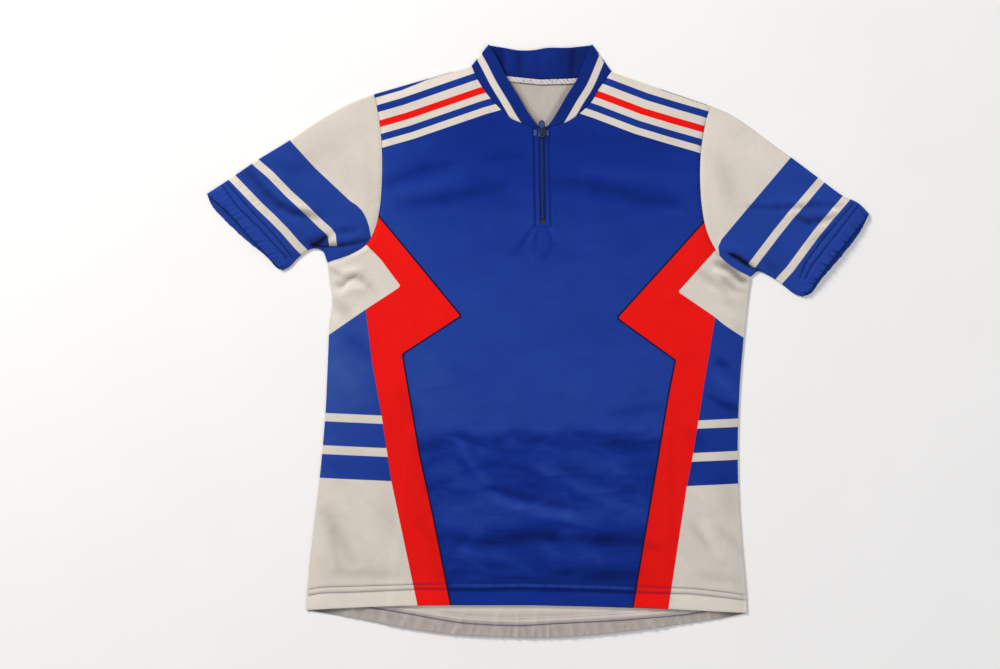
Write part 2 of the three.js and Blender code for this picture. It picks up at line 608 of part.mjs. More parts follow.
// Neck tape: follows the back neck seam on the inner face of the back.
const tapeGrid = [[], []];
for (let n = 0; n <= NECK_TAPE.steps; n += 1) {
  const x = mix(NECK_TAPE.fromX, NECK_TAPE.toX, n / NECK_TAPE.steps);
  const seam = x < ZIP.topX ? pointAt(NECK_BACK_RIGHT, 'x', x) : pointAt(NECK_BACK_LEFT, 'x', x);
  const z = WALL + SEAM + NECK_TAPE.wall / 2;
  tapeGrid[0].push(new THREE.Vector3(x, seam.y - NECK_TAPE.clear - NECK_TAPE.height, z));
  tapeGrid[1].push(new THREE.Vector3(x, seam.y - NECK_TAPE.clear, z));
}
const tapeHalf = NECK_TAPE.wall / 2;
const neckTape = wallSolid(lifted(tapeGrid, tapeHalf), lifted(tapeGrid, -tapeHalf));
addPiece('neck_tape', neckTape, MATERIALS.whiteKnit);

// A point of the slot's edge at a height y, from the front's own grid.
function slotEdge(side, y) {
  const column = side < 0 ? SLOT_COLUMN : SLOT_COLUMN + 1;
  let row = SLOT_ROW;
  while (row < LAST_ROW - 1 && frontGrid[row + 1][column].y < y) row += 1;
  const below = frontGrid[row][column];
  const above = frontGrid[row + 1][column];
  return below.clone().lerp(above, (y - below.y) / (above.y - below.y));
}

// Zip tapes: each follows its edge of the slot from below and carries its half of the coil in the slot.
// The coil stops short of the end stop and of the slider's post, where the tapes part.
const COIL_START = ZIP.bottomY + STOP.length + ZIP.coilFromStop;
const COIL_END = SLIDER.y + ZIP.coilPastSlider;
const PARTED_Y = COIL_END + ZIP.tapesPart;
const PARTED_INNER = SLIDER.postWidth / 2 + SEAM;
const tapeStations = [
  { y: ZIP.bottomY - ZIP.tapeEnd, rise: 0, inner: SEAM / 2 },
  { y: COIL_START - ZIP.coilStep, rise: 0, inner: SEAM / 2 },
  { y: COIL_START, rise: ZIP.coilRise, inner: SEAM / 2 },
];
for (let row = SLOT_ROW + 1; row < LAST_ROW; row += 1) {
  tapeStations.push({ y: frontGrid[row][SLOT_COLUMN].y, rise: ZIP.coilRise, inner: SEAM / 2 });
}
tapeStations.push(
  { y: COIL_END, rise: ZIP.coilRise, inner: SEAM / 2 },
  { y: COIL_END + ZIP.coilStep, rise: 0, inner: SEAM / 2 },
  { y: PARTED_Y, rise: 0, inner: PARTED_INNER },
  { y: ZIP.topY - SEAM, rise: 0, inner: PARTED_INNER },
);

// Lowest height of the front over one tape, close round a height y.
function placketHeight(centreX, side, y) {
  const heights = [];
  for (let away = ZIP.slotHalf + PROBE.clear; away <= ZIP.tapeReach + PROBE.past; away += PROBE.step) {
    for (const near of [y - PROBE.near, y, y + PROBE.near]) {
      const held = Math.min(near, ZIP.topY - PROBE.near);
      heights.push(surfaceHeight(frontGrid, centreX + side * away, held));
    }
  }
  return Math.min(...heights);
}

function zipTape(side) {
  const half = ZIP.tapeWall / 2;
  const upper = [];
  const lower = [];
  for (const station of tapeStations) {
    const edge = slotEdge(side, station.y);
    const centreX = edge.x - side * ZIP.slotHalf;
    const z = placketHeight(centreX, side, station.y) - HALF - SEAM - half;
    const reach = [station.inner, ZIP.coilHalf - ZIP.coilFlank, ZIP.coilHalf, ZIP.tapeReach];
    const rises = [station.rise, station.rise, 0, 0];
    upper.push(reach.map((away, n) => (
      new THREE.Vector3(centreX + side * away, station.y, z + half + rises[n]))));
    lower.push(reach.map((away) => new THREE.Vector3(centreX + side * away, station.y, z - half)));
  }
  return wallSolid(upper, lower);
}
addPiece('zip_tape_right', zipTape(-1), MATERIALS.darkTape);
addPiece('zip_tape_left', zipTape(1), MATERIALS.darkTape);

// Heights at the head of the zip, from the front's own edge there.
const headHeights = [LAST_ROW - 1, LAST_ROW].map((row) => frontGrid[row][SLOT_COLUMN].z);
const PLATE_BOTTOM = Math.max(...headHeights) + HALF + SEAM;
const PLATE_TOP = PLATE_BOTTOM + SLIDER.plate;
const headTape = Math.min(...[-1, 1].map((side) => placketHeight(ZIP.topX, side, SLIDER.y)));
const WING_TOP = headTape - HALF - SEAM - ZIP.tapeWall - SEAM;
const AXIS_Y = SLIDER.y + SLIDER.length / 2 - SLIDER.eyeFromEnd;
const AXIS_Z = PLATE_TOP + SLIDER.axisHeight;

function roundedRectangle(width, length, corner) {
  const shape = new THREE.Shape();
  const w = width / 2;
  const l = length / 2;
  shape.moveTo(-w + corner, -l);
  shape.lineTo(w - corner, -l);
  shape.absarc(w - corner, -l + corner, corner, -Math.PI / 2, 0, false);
  shape.absarc(w - corner, l - corner, corner, 0, Math.PI / 2, false);
  shape.absarc(-w + corner, l - corner, corner, Math.PI / 2, Math.PI, false);
  shape.absarc(-w + corner, -l + corner, corner, Math.PI, Math.PI * 1.5, false);
  return shape;
}

function extruded(shape, depth) {
  return new THREE.ExtrudeGeometry(shape, { depth, bevelEnabled: false, curveSegments: 4 });
}

// Turns a closed geometry into a solid that can be joined to others, and back.
const solids = await Module();
solids.setup();
function asSolid(geometry) {
  const bare = geometry.clone();
  bare.deleteAttribute('normal');
  bare.deleteAttribute('uv');
  const merged = mergeVertices(bare, 1e-4);
  return new solids.Manifold(new solids.Mesh({
    numProp: 3,
    vertProperties: new Float32Array(merged.attributes.position.array),
    triVerts: new Uint32Array(merged.index.array),
  }));
}
function geometryOf(solid) {
  const mesh = solid.getMesh();
  const geometry = new THREE.BufferGeometry();
  geometry.setAttribute('position', new THREE.BufferAttribute(new Float32Array(mesh.vertProperties), 3));
  geometry.setIndex(new THREE.BufferAttribute(new Uint32Array(mesh.triVerts), 1));
  geometry.computeVertexNormals();
  return geometry;
}

// Slider: top plate over the slot's edges, bridge with an eye, post between the tapes, wing below them.
function sliderSolid() {
  const centreX = ZIP.topX;
  const plate = extruded(roundedRectangle(SLIDER.width, SLIDER.length, SLIDER.corner), SLIDER.plate);
  plate.translate(centreX, SLIDER.y, PLATE_BOTTOM);
  const wingWidth = SLIDER.width - 2 * SLIDER.wingInset;
  const wingLength = SLIDER.length - 2 * SLIDER.wingShorter;
  const wing = extruded(roundedRectangle(wingWidth, wingLength, SLIDER.corner), SLIDER.wing);
  wing.translate(centreX, SLIDER.y, WING_TOP - SLIDER.wing);
  const postHeight = PLATE_BOTTOM - WING_TOP + SLIDER.wing / 2 + SLIDER.plate / 2;
  const post = new THREE.BoxGeometry(SLIDER.postWidth, SLIDER.postLength, postHeight);
  const postY = PARTED_Y + SEAM + SLIDER.postLength / 2;
  post.translate(centreX, postY, (PLATE_BOTTOM + WING_TOP) / 2 + (SLIDER.plate - SLIDER.wing) / 4);
  const profile = new THREE.Shape();
  const far = AXIS_Y + SLIDER.eye + SLIDER.rim;
  const near = far - SLIDER.bridgeLength;
  const crest = AXIS_Z + SLIDER.eye + SLIDER.rim;
  const sunk = PLATE_TOP - SLIDER.plate / 2;
  profile.moveTo(near, sunk);
  profile.lineTo(far, sunk);
  profile.lineTo(far, AXIS_Z);
  profile.quadraticCurveTo(far, crest, AXIS_Y, crest);
  profile.lineTo(AXIS_Y - SLIDER.bridgeCrest, crest);
  profile.quadraticCurveTo(near + SLIDER.bridgeFoot, crest, near, PLATE_TOP);
  profile.closePath();
  const eye = new THREE.Path();
  eye.absarc(AXIS_Y, AXIS_Z, SLIDER.eye, 0, Math.PI * 2, true);
  profile.holes.push(eye);
  const bridge = extruded(profile, SLIDER.bridgeWidth);
  bridge.rotateX(Math.PI / 2).rotateZ(Math.PI / 2);
  bridge.translate(centreX - SLIDER.bridgeWidth / 2, 0, 0);
  return geometryOf([plate, wing, post, bridge].map(asSolid).reduce((whole, next) => whole.add(next)));
}
addPiece('zip_slider', sliderSolid(), MATERIALS.enamel);

// Pull tab: a flat tab with a short window, whose lower bar runs through the slider's eye. It points up
// to the collar.
function pullTab() {
  const shape = new THREE.Shape();
  const w = TAB.width / 2;
  const pin = TAB.pin / 2;
  const end = TAB.length - pin;
  shape.moveTo(-w + TAB.corner, -pin);
  shape.lineTo(w - TAB.corner, -pin);
  shape.quadraticCurveTo(w, -pin, w, pin + TAB.heel);
  shape.lineTo(w - TAB.taper, end - w);
  shape.quadraticCurveTo(w - TAB.tip, end, 0, end);
  shape.quadraticCurveTo(-w + TAB.tip, end, -w + TAB.taper, end - w);
  shape.lineTo(-w, pin + TAB.heel);
  shape.quadraticCurveTo(-w, -pin, -w + TAB.corner, -pin);
  const hole = new THREE.Path();
  const h = TAB.window / 2;
  const holeEnd = pin + TAB.windowLength;
  hole.moveTo(-h, pin);
  hole.lineTo(-h, holeEnd - h);
  hole.quadraticCurveTo(-h, holeEnd, 0, holeEnd);
  hole.quadraticCurveTo(h, holeEnd, h, holeEnd - h);
  hole.lineTo(h, pin);
  hole.closePath();
  shape.holes.push(hole);
  const tab = extruded(shape, TAB.wall);
  tab.translate(ZIP.topX, AXIS_Y, AXIS_Z - TAB.wall / 2);
  return geometryOf(asSolid(tab));
}
addPiece('zip_pull_tab', pullTab(), MATERIALS.enamel);

// End stop: a brass clamp across both tapes at the lower end of the slot.
const stopY = ZIP.bottomY + SEAM + STOP.length / 2;
const stopBase = Math.max(...[-1, 1].map((side) => placketHeight(ZIP.bottomX, side, stopY))) - HALF;
const stop = new THREE.BoxGeometry(STOP.width, STOP.length, STOP.wall);
stop.translate(ZIP.bottomX, stopY, stopBase + STOP.wall / 2);
addPiece('zip_bottom_stop', stop, MATERIALS.brass);

export default jersey;
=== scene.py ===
import math
import bpy
import numpy as np
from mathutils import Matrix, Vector
from mathutils.bvhtree import BVHTree


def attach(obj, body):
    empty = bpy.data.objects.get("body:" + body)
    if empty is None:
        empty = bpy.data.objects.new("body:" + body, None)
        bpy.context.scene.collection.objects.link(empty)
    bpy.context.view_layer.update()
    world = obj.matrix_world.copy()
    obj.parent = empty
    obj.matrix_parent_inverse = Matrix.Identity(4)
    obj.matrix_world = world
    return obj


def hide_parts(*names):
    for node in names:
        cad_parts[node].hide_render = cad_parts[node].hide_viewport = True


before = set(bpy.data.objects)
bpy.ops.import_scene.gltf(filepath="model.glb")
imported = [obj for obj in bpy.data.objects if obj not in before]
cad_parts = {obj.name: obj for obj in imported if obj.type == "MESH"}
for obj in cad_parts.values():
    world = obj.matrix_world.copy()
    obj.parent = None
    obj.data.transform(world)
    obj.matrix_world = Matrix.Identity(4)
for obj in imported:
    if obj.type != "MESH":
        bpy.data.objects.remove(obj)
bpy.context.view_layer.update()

# Studio. A pale seamless table under the jersey, one large soft light from the upper left and a weak
# one from the right, with the camera straight above as in a catalogue flat lay.
MM = 0.001
PHOTO_WIDTH_PX, PHOTO_SCALE_MM = 1000, 1.25
PHOTO_CENTRE_MM = (-47.5, 9.0)
CAMERA_HEIGHT_M, SENSOR_MM = 3.2, 36.0
SWEEP = dict(size_m=14.0, below_m=0.0004, mottles_per_m=6.0)


def to_linear(code):
    """An sRGB hex colour as the linear one that a shader takes."""
    parts = [int(code[k:k + 2], 16) / 255 for k in (0, 2, 4)]
    return tuple(p / 12.92 if p <= 0.04045 else ((p + 0.055) / 1.055) ** 2.4 for p in parts) + (1.0,)


def add_node(tree, kind, inputs=None, **settings):
    """A node with its settings, and with each input linked to a socket or set to a value."""
    made = tree.nodes.new(kind)
    for name, value in settings.items():
        setattr(made, name, value)
    for key, value in (inputs or {}).items():
        if isinstance(value, bpy.types.NodeSocket):
            tree.links.new(value, made.inputs[key])
        else:
            made.inputs[key].default_value = value
    return made


def new_material(name):
    material = bpy.data.materials.new(name)
    material.use_nodes = True
    material.node_tree.nodes.clear()
    return material, material.node_tree


def finish_material(tree, inputs):
    surface = add_node(tree, "ShaderNodeBsdfPrincipled", inputs)
    add_node(tree, "ShaderNodeOutputMaterial", {"Surface": surface.outputs[0]})


# Uncoated paper: even and matt, with a cloudiness so faint that it only keeps the white from looking flat.
paper, tree = new_material("pale_paper_sweep")
position = add_node(tree, "ShaderNodeNewGeometry").outputs["Position"]
mottle = add_node(tree, "ShaderNodeTexNoise", {"Vector": position, "Scale": SWEEP["mottles_per_m"],
                                               "Detail": 3.0})
tint = add_node(tree, "ShaderNodeMix", {"Factor": mottle.outputs["Fac"], "A": to_linear("f4f4f4"),
                                        "B": to_linear("fafafa")}, data_type="RGBA")
finish_material(tree, {"Base Color": tint.outputs["Result"], "Roughness": 0.9})

bpy.ops.mesh.primitive_plane_add(size=SWEEP["size_m"], location=(0, 0, -SWEEP["below_m"]))
sweep = bpy.context.object
sweep.name = "table_sweep"
sweep.data.materials.append(paper)

lens = bpy.data.cameras.new("flat_lay_camera")
camera = bpy.data.objects.new("flat_lay_camera", lens)
bpy.context.collection.objects.link(camera)
camera.location = (PHOTO_CENTRE_MM[0] * MM, PHOTO_CENTRE_MM[1] * MM, CAMERA_HEIGHT_M)
lens.sensor_width = SENSOR_MM
lens.lens = SENSOR_MM * CAMERA_HEIGHT_M / (PHOTO_WIDTH_PX * PHOTO_SCALE_MM * MM)
lens.clip_end = 40.0
bpy.context.scene.camera = camera

SOFT_LIGHTS = [
    dict(name="key", at=(-2.2, 2.3, 1.8), size=0.9, watts=118, colour="fffaf4"),
    dict(name="fill", at=(2.6, -1.2, 2.6), size=2.0, watts=30, colour="f4f7ff"),
]
ROOM_LIGHT = 0.42
for light in SOFT_LIGHTS:
    lamp = bpy.data.lights.new(light["name"], "AREA")
    lamp.energy, lamp.size = light["watts"], light["size"]
    lamp.color = to_linear(light["colour"])[:3]
    holder = bpy.data.objects.new(light["name"], lamp)
    bpy.context.collection.objects.link(holder)
    holder.location = light["at"]
    holder.rotation_euler = (-Vector(light["at"])).to_track_quat("-Z", "Y").to_euler()
world = bpy.data.worlds.new("studio")
bpy.context.scene.world = world
world.use_nodes = True
background = world.node_tree.nodes["Background"]
background.inputs["Color"].default_value = to_linear("ffffff")
background.inputs["Strength"].default_value = ROOM_LIGHT
bpy.context.scene.view_settings.view_transform = "Standard"

# Front panel. Circular-knit polyester, cut in one with a slit for the zip, and printed before sewing
# with shoulder stripes, red side bands, white side patches and side stripes. All sizes are in mm.
CLOTH = 0.8
BACK_LIFT = 0.5
FRONT_LIFT = BACK_LIFT + CLOTH + 0.06
FRONT_AIR, ARMHOLE_AIR, NECK_AIR, HEM_AIR = 2.9, 2.2, 2.9, 2.0
SIDE_ROLL = 11.0
POCKET = dict(top=-110.5, bottom=-361.0, right=-160.0, low_right=-188.0, left=163.0, step=1.1,
              shoulder=(5, 6))
ZIP = dict(top_x=4.5, top_y=267.5, bottom_x=6.2, bottom_y=148.0, hem_x=-9.0, slot_half=3.6)
SIDE_RIGHT = [(-289.5, -335.5), (-285.5, -279), (-279, -223), (-272, -163), (-265.5, -88),
              (-262.5, -23), (-260.5, 21), (-257, 52), (-260, 74.5), (-263, 99)]
SIDE_LEFT = [(261, -339), (259, -304), (254.5, -254), (250.5, -191.5), (249.5, -123), (252, -54),
             (256, -4), (261, 46), (265.5, 81)]
ARMHOLE_RIGHT = [(-263, 99), (-236, 108), (-215, 121), (-204, 139.5), (-197.5, 167), (-194.5, 208.5),
                 (-195.5, 252), (-200, 287), (-205, 309)]
ARMHOLE_LEFT = [(265.5, 81), (246, 91.5), (230, 104), (219, 119.5), (210, 139.5), (204.5, 167),
                (202, 202), (203.5, 242), (209.5, 274.5), (216, 294.5)]
SHOULDER_RIGHT = [(-205, 309), (-142.5, 327), (-82.5, 343.5)]
SHOULDER_LEFT = [(216, 294.5), (152.5, 316), (91, 337)]
NECK_RIGHT = [(-82.5, 343.5), (-76, 328.5), (-66, 312.5), (-53, 297), (-34, 279), (-20.5, 273),
              (-7, 268.1), (0.9, 267)]
NECK_LEFT = [(91, 337), (84.5, 328), (76, 316), (66.5, 299.5), (46, 280.5), (33, 273), (16, 268.1),
             (8.1, 267)]
HEM_RIGHT = [(-289.5, -335.5), (-247.5, -333), (-151, -329.5), (-12.6, -329)]
HEM_LEFT = [(261, -339), (162.5, -334), (77.5, -331), (-5.4, -329)]
FRONT_HEM = HEM_RIGHT + HEM_LEFT[::-1]
# Lines of the cloth's grid: numbered from hem to shoulder, and from side seam to zip.
ROW_MARKS = dict(hem=0, pocket=10, underarm=19, slot=23, top=31)
COLUMN_MARKS = dict(side=0, neck=8, zip=15)
UNDERARM_Y = 90.0
# The two rows of the hem's twin-needle stitching, upper and lower.
HEM_ROWS = [
    [(-286.5, -309.6), (-272.5, -306.8), (-222.5, -305.2), (-147.5, -303), (-72.5, -302), (-22.5, -301.6),
     (27.5, -302.6), (77.5, -304), (140, -306.4), (190, -307.8), (240, -313.4), (258.5, -316.5)],
    [(-286.5, -317.1), (-272.5, -314.2), (-222.5, -312.6), (-147.5, -309.2), (-72.5, -309.9),
     (-22.5, -308.6), (27.5, -310.1), (77.5, -311.2), (140, -314), (190, -315), (240, -320.3),
     (258.5, -322.8)],
]
# Soft folds of the front as it lies: ends, half width and rise. A trough has a negative rise.
CHEST_FOLDS = [
    (-190, 197, -141, 215, 8, -1.7), (-141, 215, -110, 221, 7, -1.1), (-170, 172, -116, 177, 9, -1.9),
    (-116, 177, -45, 192, 9, -1.6), (-165, 186, -95, 203, 9, 1.2), (25, 199, 75, 191, 9, -1.3),
    (75, 191, 170, 171, 10, -1.9), (60, 214, 180, 196, 10, 1.2), (-60, 228, -20, 236, 8, -0.8),
    (-150, 240, -128, 252, 8, 1.0), (150, 262, 182, 250, 9, -1.0), (-190, 290, -150, 300, 9, -0.8),
    (150, 166, 178, 158, 6, 0.9), (-60, 120, 40, 104, 16, -0.5), (-120, 40, -60, 60, 18, 0.5),
    (30, 20, 90, 5, 20, -0.5), (-20, -40, 80, -60, 16, 0.5),
]
BELOW_ZIP_FOLDS = [
    (-6, 141, -20, 121, 3.5, -1.6), (-20, 121, -31, 107, 4, -0.9), (0, 139, -3, 124, 2.6, -1.3),
    (-4, 139, -12, 122, 2.8, 1.1), (6, 139, 5, 118, 2.8, 1.1), (12, 139, 18, 122, 2.8, -1.3),
    (20, 120, 3, 98, 3.5, -1.0), (17, 140, 26, 126, 3.2, 0.8), (-12, 112, 0, 96, 4, 0.7),
]
# Below the pocket's top edge the cloth is rumpled, with thin slanting ridges over broad level troughs.
BELLY_RIDGES = [
    (-100, -123, -83, -152, 4.5, 1.9), (-83, -152, -63, -178, 4.5, 1.7), (-69, -139, -35, -148, 4.5, 1.0),
    (-35, -148, -6, -150, 5, 1.1), (-6, -150, 15, -167, 5, 1.5), (15, -167, 61, -187, 5, 1.7),
    (61, -187, 94, -202, 6, 1.4), (94, -202, 136, -217, 6, 1.2), (-75, -183, -51, -196, 6, 1.7),
    (-51, -196, -22, -210, 7, 2.0), (-22, -210, 36, -219, 7, 2.1), (36, -219, 81, -238, 7, 1.7),
    (31, -173, 44, -214, 4.5, 1.0), (-108, -222, -42, -222, 13, 1.2), (-110, -269, -89, -263, 6, 1.4),
    (-89, -263, -47, -269, 7, 1.7), (-47, -269, -14, -282, 6, 1.3), (11, -257, 28, -282, 4.5, 0.9),
    (77, -271, 127, -281, 6, 1.4), (-140, -150, -125, -172, 8, 1.2), (60, -140, 100, -152, 9, 0.9),
    (100, -165, 130, -185, 6, 0.7), (-20, -242, 10, -252, 5, 0.8), (40, -250, 66, -262, 5, 0.7),
]
BELLY_TROUGHS = [
    (-147, -127, -106, -127, 6, -1.4), (-106, -117, -69, -125, 6, -1.1), (-62, -130, -47, -124, 6, -0.9),
    (-47, -124, -29, -112, 5, -1.2), (-22, -122, 20, -126, 7, -0.9), (20, -120, 40, -110, 6, -0.9),
    (40, -108, 60, -114, 6, -1.1), (60, -122, 98, -128, 7, -1.0), (98, -128, 137, -136, 6, -1.3),
    (-35, -158, 2, -165, 5, -1.3), (30, -160, 77, -174, 7, -1.5), (77, -174, 130, -188, 7, -0.9),
    (-64, -182, -39, -189, 5, -1.8), (-39, -189, -6, -198, 5, -1.8), (-6, -198, 48, -209, 5, -1.7),
    (-139, -185, -110, -173, 5, -1.7), (-97, -246, -60, -250, 7, -1.4), (-60, -247, 20, -243, 8, -2.0),
    (20, -246, 119, -248, 8, -2.1), (-69, -277, -47, -286, 5, -1.0), (-6, -283, 36, -289, 6, -1.5),
    (36, -289, 122, -292, 7, -1.9), (-126, -292, -80, -290, 6, -1.1), (94, -91, 152, -81, 6, -1.5),
    (118, -70, 140, -64, 5, -0.8), (-90, -206, -70, -214, 5, -0.7),
]
SIDE_FOLDS = [
    (-251, 71.5, -244, 69.5, 3, -3.2), (-244, 69.5, -238, 77, 3, -3.0), (-238, 77, -230, 80.5, 3, -2.8),
    (-230, 80.5, -220, 77.5, 3.2, -2.4), (-220, 77.5, -210, 69, 3.5, -2.4), (-210, 69, -201, 60, 4, -1.6),
    (-259, 92, -243, 81, 3.2, -2.5), (-258, 96, -243, 86, 3, 1.4), (-242, 86, -222, 90, 4.5, 2.0),
    (-252, 61, -240, 60, 4, 1.8), (-238, 67, -218, 66, 5, 2.4), (-258, 108, -246, 104, 5, -1.4),
    (-254, 49, -232, 30, 8, -2.0), (-232, 30, -214, 40, 7, 1.0), (-258, 40, -246, 20, 6, 1.0),
    (225, 97, 236, 94, 5, -4.2), (236, 94, 246, 85, 6, -4.8), (246, 85, 254, 77, 5.5, -4.8),
    (254, 77, 262, 77, 4, -4.0), (222, 88, 238, 83, 3.5, 2.4), (238, 83, 250, 70, 3.5, 2.6),
    (250, 70, 264, 65, 3.5, 2.4), (234, 75, 252, 63, 5, -3.4), (204, 86, 234, 62, 6, -2.2),
    (231, 60, 246, 42, 6, -1.4), (219, 66, 236, 54, 6, 1.4), (248, 60, 260, 50, 5, 1.2),
    (228, 40, 250, 26, 7, 0.9),
    (225, -25, 237, -31, 5, -2.0), (222, -46, 244, -58, 7, 1.3), (213, -68, 226, -74, 4, -1.4),
    (228, -78, 248, -84, 5, -2.4), (240, -66, 250, -70, 4, 1.2), (-240, 10, -214, -16, 10, -0.9),
    (-250, -30, -225, -70, 10, 0.8), (-266, -214, -232, -272, 8, -1.8), (-258, -240, -246, -286, 5, -1.2),
    (-224, -185, -205, -242, 12, 1.2), (-246, -196, -226, -236, 7, 1.2), (-252, -291, -178, -293, 7, -1.3),
    (-190, -200, -168, -262, 10, -0.7), (210, -230, 229, -270, 6, 1.9), (193, -231, 217, -262, 5, -1.6),
    (231, -238, 253, -262, 6, -1.3), (196, -176, 214, -206, 8, 0.9), (232, -172, 240, -220, 8, -0.8),
    (172, -268, 196, -296, 6, 1.0), (200, -292, 250, -302, 6, -1.0), (186, -112, 206, -128, 6, -0.9),
    (150, -108, 170, -118, 5, 0.9), (128, -252, 156, -262, 6, -1.0), (-152, -226, -134, -248, 6, -0.9),
    (-170, -60, -160, -96, 6, -0.8), (-160, -92, -138, -215, 15, -0.7), (-136, -222, -112, -322, 13, -0.7),
    (150, -190, 126, -318, 13, -0.5),
]
# Each set as it is laid in: how much its folds are widened and how much of their rise is left.
FOLD_SETS = [(SIDE_FOLDS, 1.0, 1.0), (CHEST_FOLDS, 1.0, 0.62), (BELOW_ZIP_FOLDS, 1.0, 0.5),
             (BELLY_RIDGES, 1.2, 0.64), (BELLY_TROUGHS, 1.1, 0.66)]
FRONT_FOLDS = [(*fold[:4], fold[4] * wider, fold[5] * lower)
               for folds, wider, lower in FOLD_SETS for fold in folds]

# Painted sheen and shade of the blue, from hem to shoulder, for how the cloth's slopes catch the light: 0 is
# deep painted shade, 1 is painted light.
SHEEN_AND_SHADE_UP = [(-345, 0.46), (-318, 0.46), (-298, 0.34), (-280, 0.45), (-262, 0.52), (-248, 0.36), (-226, 0.62),
       (-205, 0.62), (-180, 0.54), (-150, 0.5), (-128, 0.5), (-117, 0.62), (-104, 0.98), (-10, 0.95),
       (50, 0.9), (100, 0.8), (140, 0.72), (182, 0.58), (200, 0.5), (222, 0.48), (250, 0.4), (345, 0.4)]
SHEEN_AND_SHADE_ACROSS = [(-290, 0.45), (-235, 0.36), (-190, 0.24), (-150, 0.12), (-80, 0.02), (20, 0.0), (150, -0.05),
              (220, -0.03), (262, 0.04)]
SHEEN_PER_RISE = 0.2
# The painted shade low on the front fades away towards the side seams.
SIDE_SHEEN_AND_SHADE = [(-345, 0.62), (-150, 0.64), (-60, 0.84), (30, 0.86), (60, 0.82), (345, 0.4)]
# The whole front is made a little duller low down, darker towards the hem: height and tone of all inks.
DULLER_LOW = [(-345, 0.93), (-150, 0.94), (10, 0.98), (120, 1.0), (345, 1.0)]
# The cloth puffs up in a narrow tube between the two rows of the hem where it is blue.
HEM_TUBE = [(-106, -303.6), (-72.5, -305), (-22.5, -304), (27.5, -305.2), (77.5, -306.4), (118, -308)]


def smooth(t):
    """An even rise from 0 to 1 while t goes from 0 to 1."""
    t = np.clip(t, 0.0, 1.0)
    return t * t * (3 - 2 * t)


def bell(away, width):
    """1 on a line, fading to nothing about two widths away from it."""
    return np.exp(-(away / width) ** 2)


def read_off(table, at):
    """The second number of a table of pairs, read off between its rows."""
    return np.interp(at, *zip(*table))


def curve_line(table, steps=12):
    """A fine line of points on the smooth curve through a short table."""
    p = np.array(table, float)
    p = np.vstack([2 * p[0] - p[1], p, 2 * p[-1] - p[-2]])
    knots = np.concatenate([[0], np.cumsum(np.sqrt(np.linalg.norm(np.diff(p, axis=0), axis=1)))])
    line = [p[1][None]]
    for n in range(1, len(p) - 2):
        t = np.linspace(knots[n], knots[n + 1], steps + 1)[1:, None]
        k0, k1, k2, k3 = knots[n - 1:n + 3]
        a = (k1 - t) / (k1 - k0) * p[n - 1] + (t - k0) / (k1 - k0) * p[n]
        b = (k2 - t) / (k2 - k1) * p[n] + (t - k1) / (k2 - k1) * p[n + 1]
        c = (k3 - t) / (k3 - k2) * p[n + 1] + (t - k2) / (k3 - k2) * p[n + 2]
        d = (k2 - t) / (k2 - k0) * a + (t - k0) / (k2 - k0) * b
        e = (k3 - t) / (k3 - k1) * b + (t - k1) / (k3 - k1) * c
        line.append((k2 - t) / (k2 - k1) * d + (t - k1) / (k2 - k1) * e)
    return np.vstack(line)


def at_share(table, shares):
    """Points of the curve at these shares of its length."""
    line = curve_line(table)
    length = np.concatenate([[0], np.cumsum(np.linalg.norm(np.diff(line, axis=0), axis=1))])
    wanted = np.asarray(shares) * length[-1]
    return np.stack([np.interp(wanted, length, line[:, k]) for k in (0, 1)], axis=-1)


def at_value(table, axis, values):
    """Points of the curve at these values of x (0) or y (1)."""
    line = curve_line(table)
    order = np.argsort(line[:, axis], kind="stable")
    other = np.interp(values, line[order, axis], line[order, 1 - axis])
    pair = (values, other) if axis == 0 else (other, values)
    return np.stack(pair, axis=-1)


def fill_between(first, last, start, end, across, up):
    """A grid of points between four edge lines: two across, lowest and highest, and two up the sides."""
    u, v = across[None, :, None], up[:, None, None]
    sides = start[:, None] * (1 - u) + end[:, None] * u + first[None] * (1 - v) + last[None] * v
    lower = start[0] * (1 - u) + end[0] * u
    upper = start[-1] * (1 - u) + end[-1] * u
    return sides - (lower * (1 - v) + upper * v)


def marks(stops, step, fine_ends=()):
    """Grid lines every step between whole marks, with closer ones at the ends that need them."""
    lines = np.arange(stops[0], stops[-1] + 1e-6, step)
    return np.unique(np.round(np.concatenate([lines, fine_ends, stops]), 4))


rows = marks(list(ROW_MARKS.values()), 0.14, (0.03, 0.06, 0.1, *np.arange(0.6, 1.4, 0.05)))
half_columns = marks(list(COLUMN_MARKS.values()), 0.2, (0.03, 0.07, 0.12, *np.arange(13.5, 15, 0.09)))


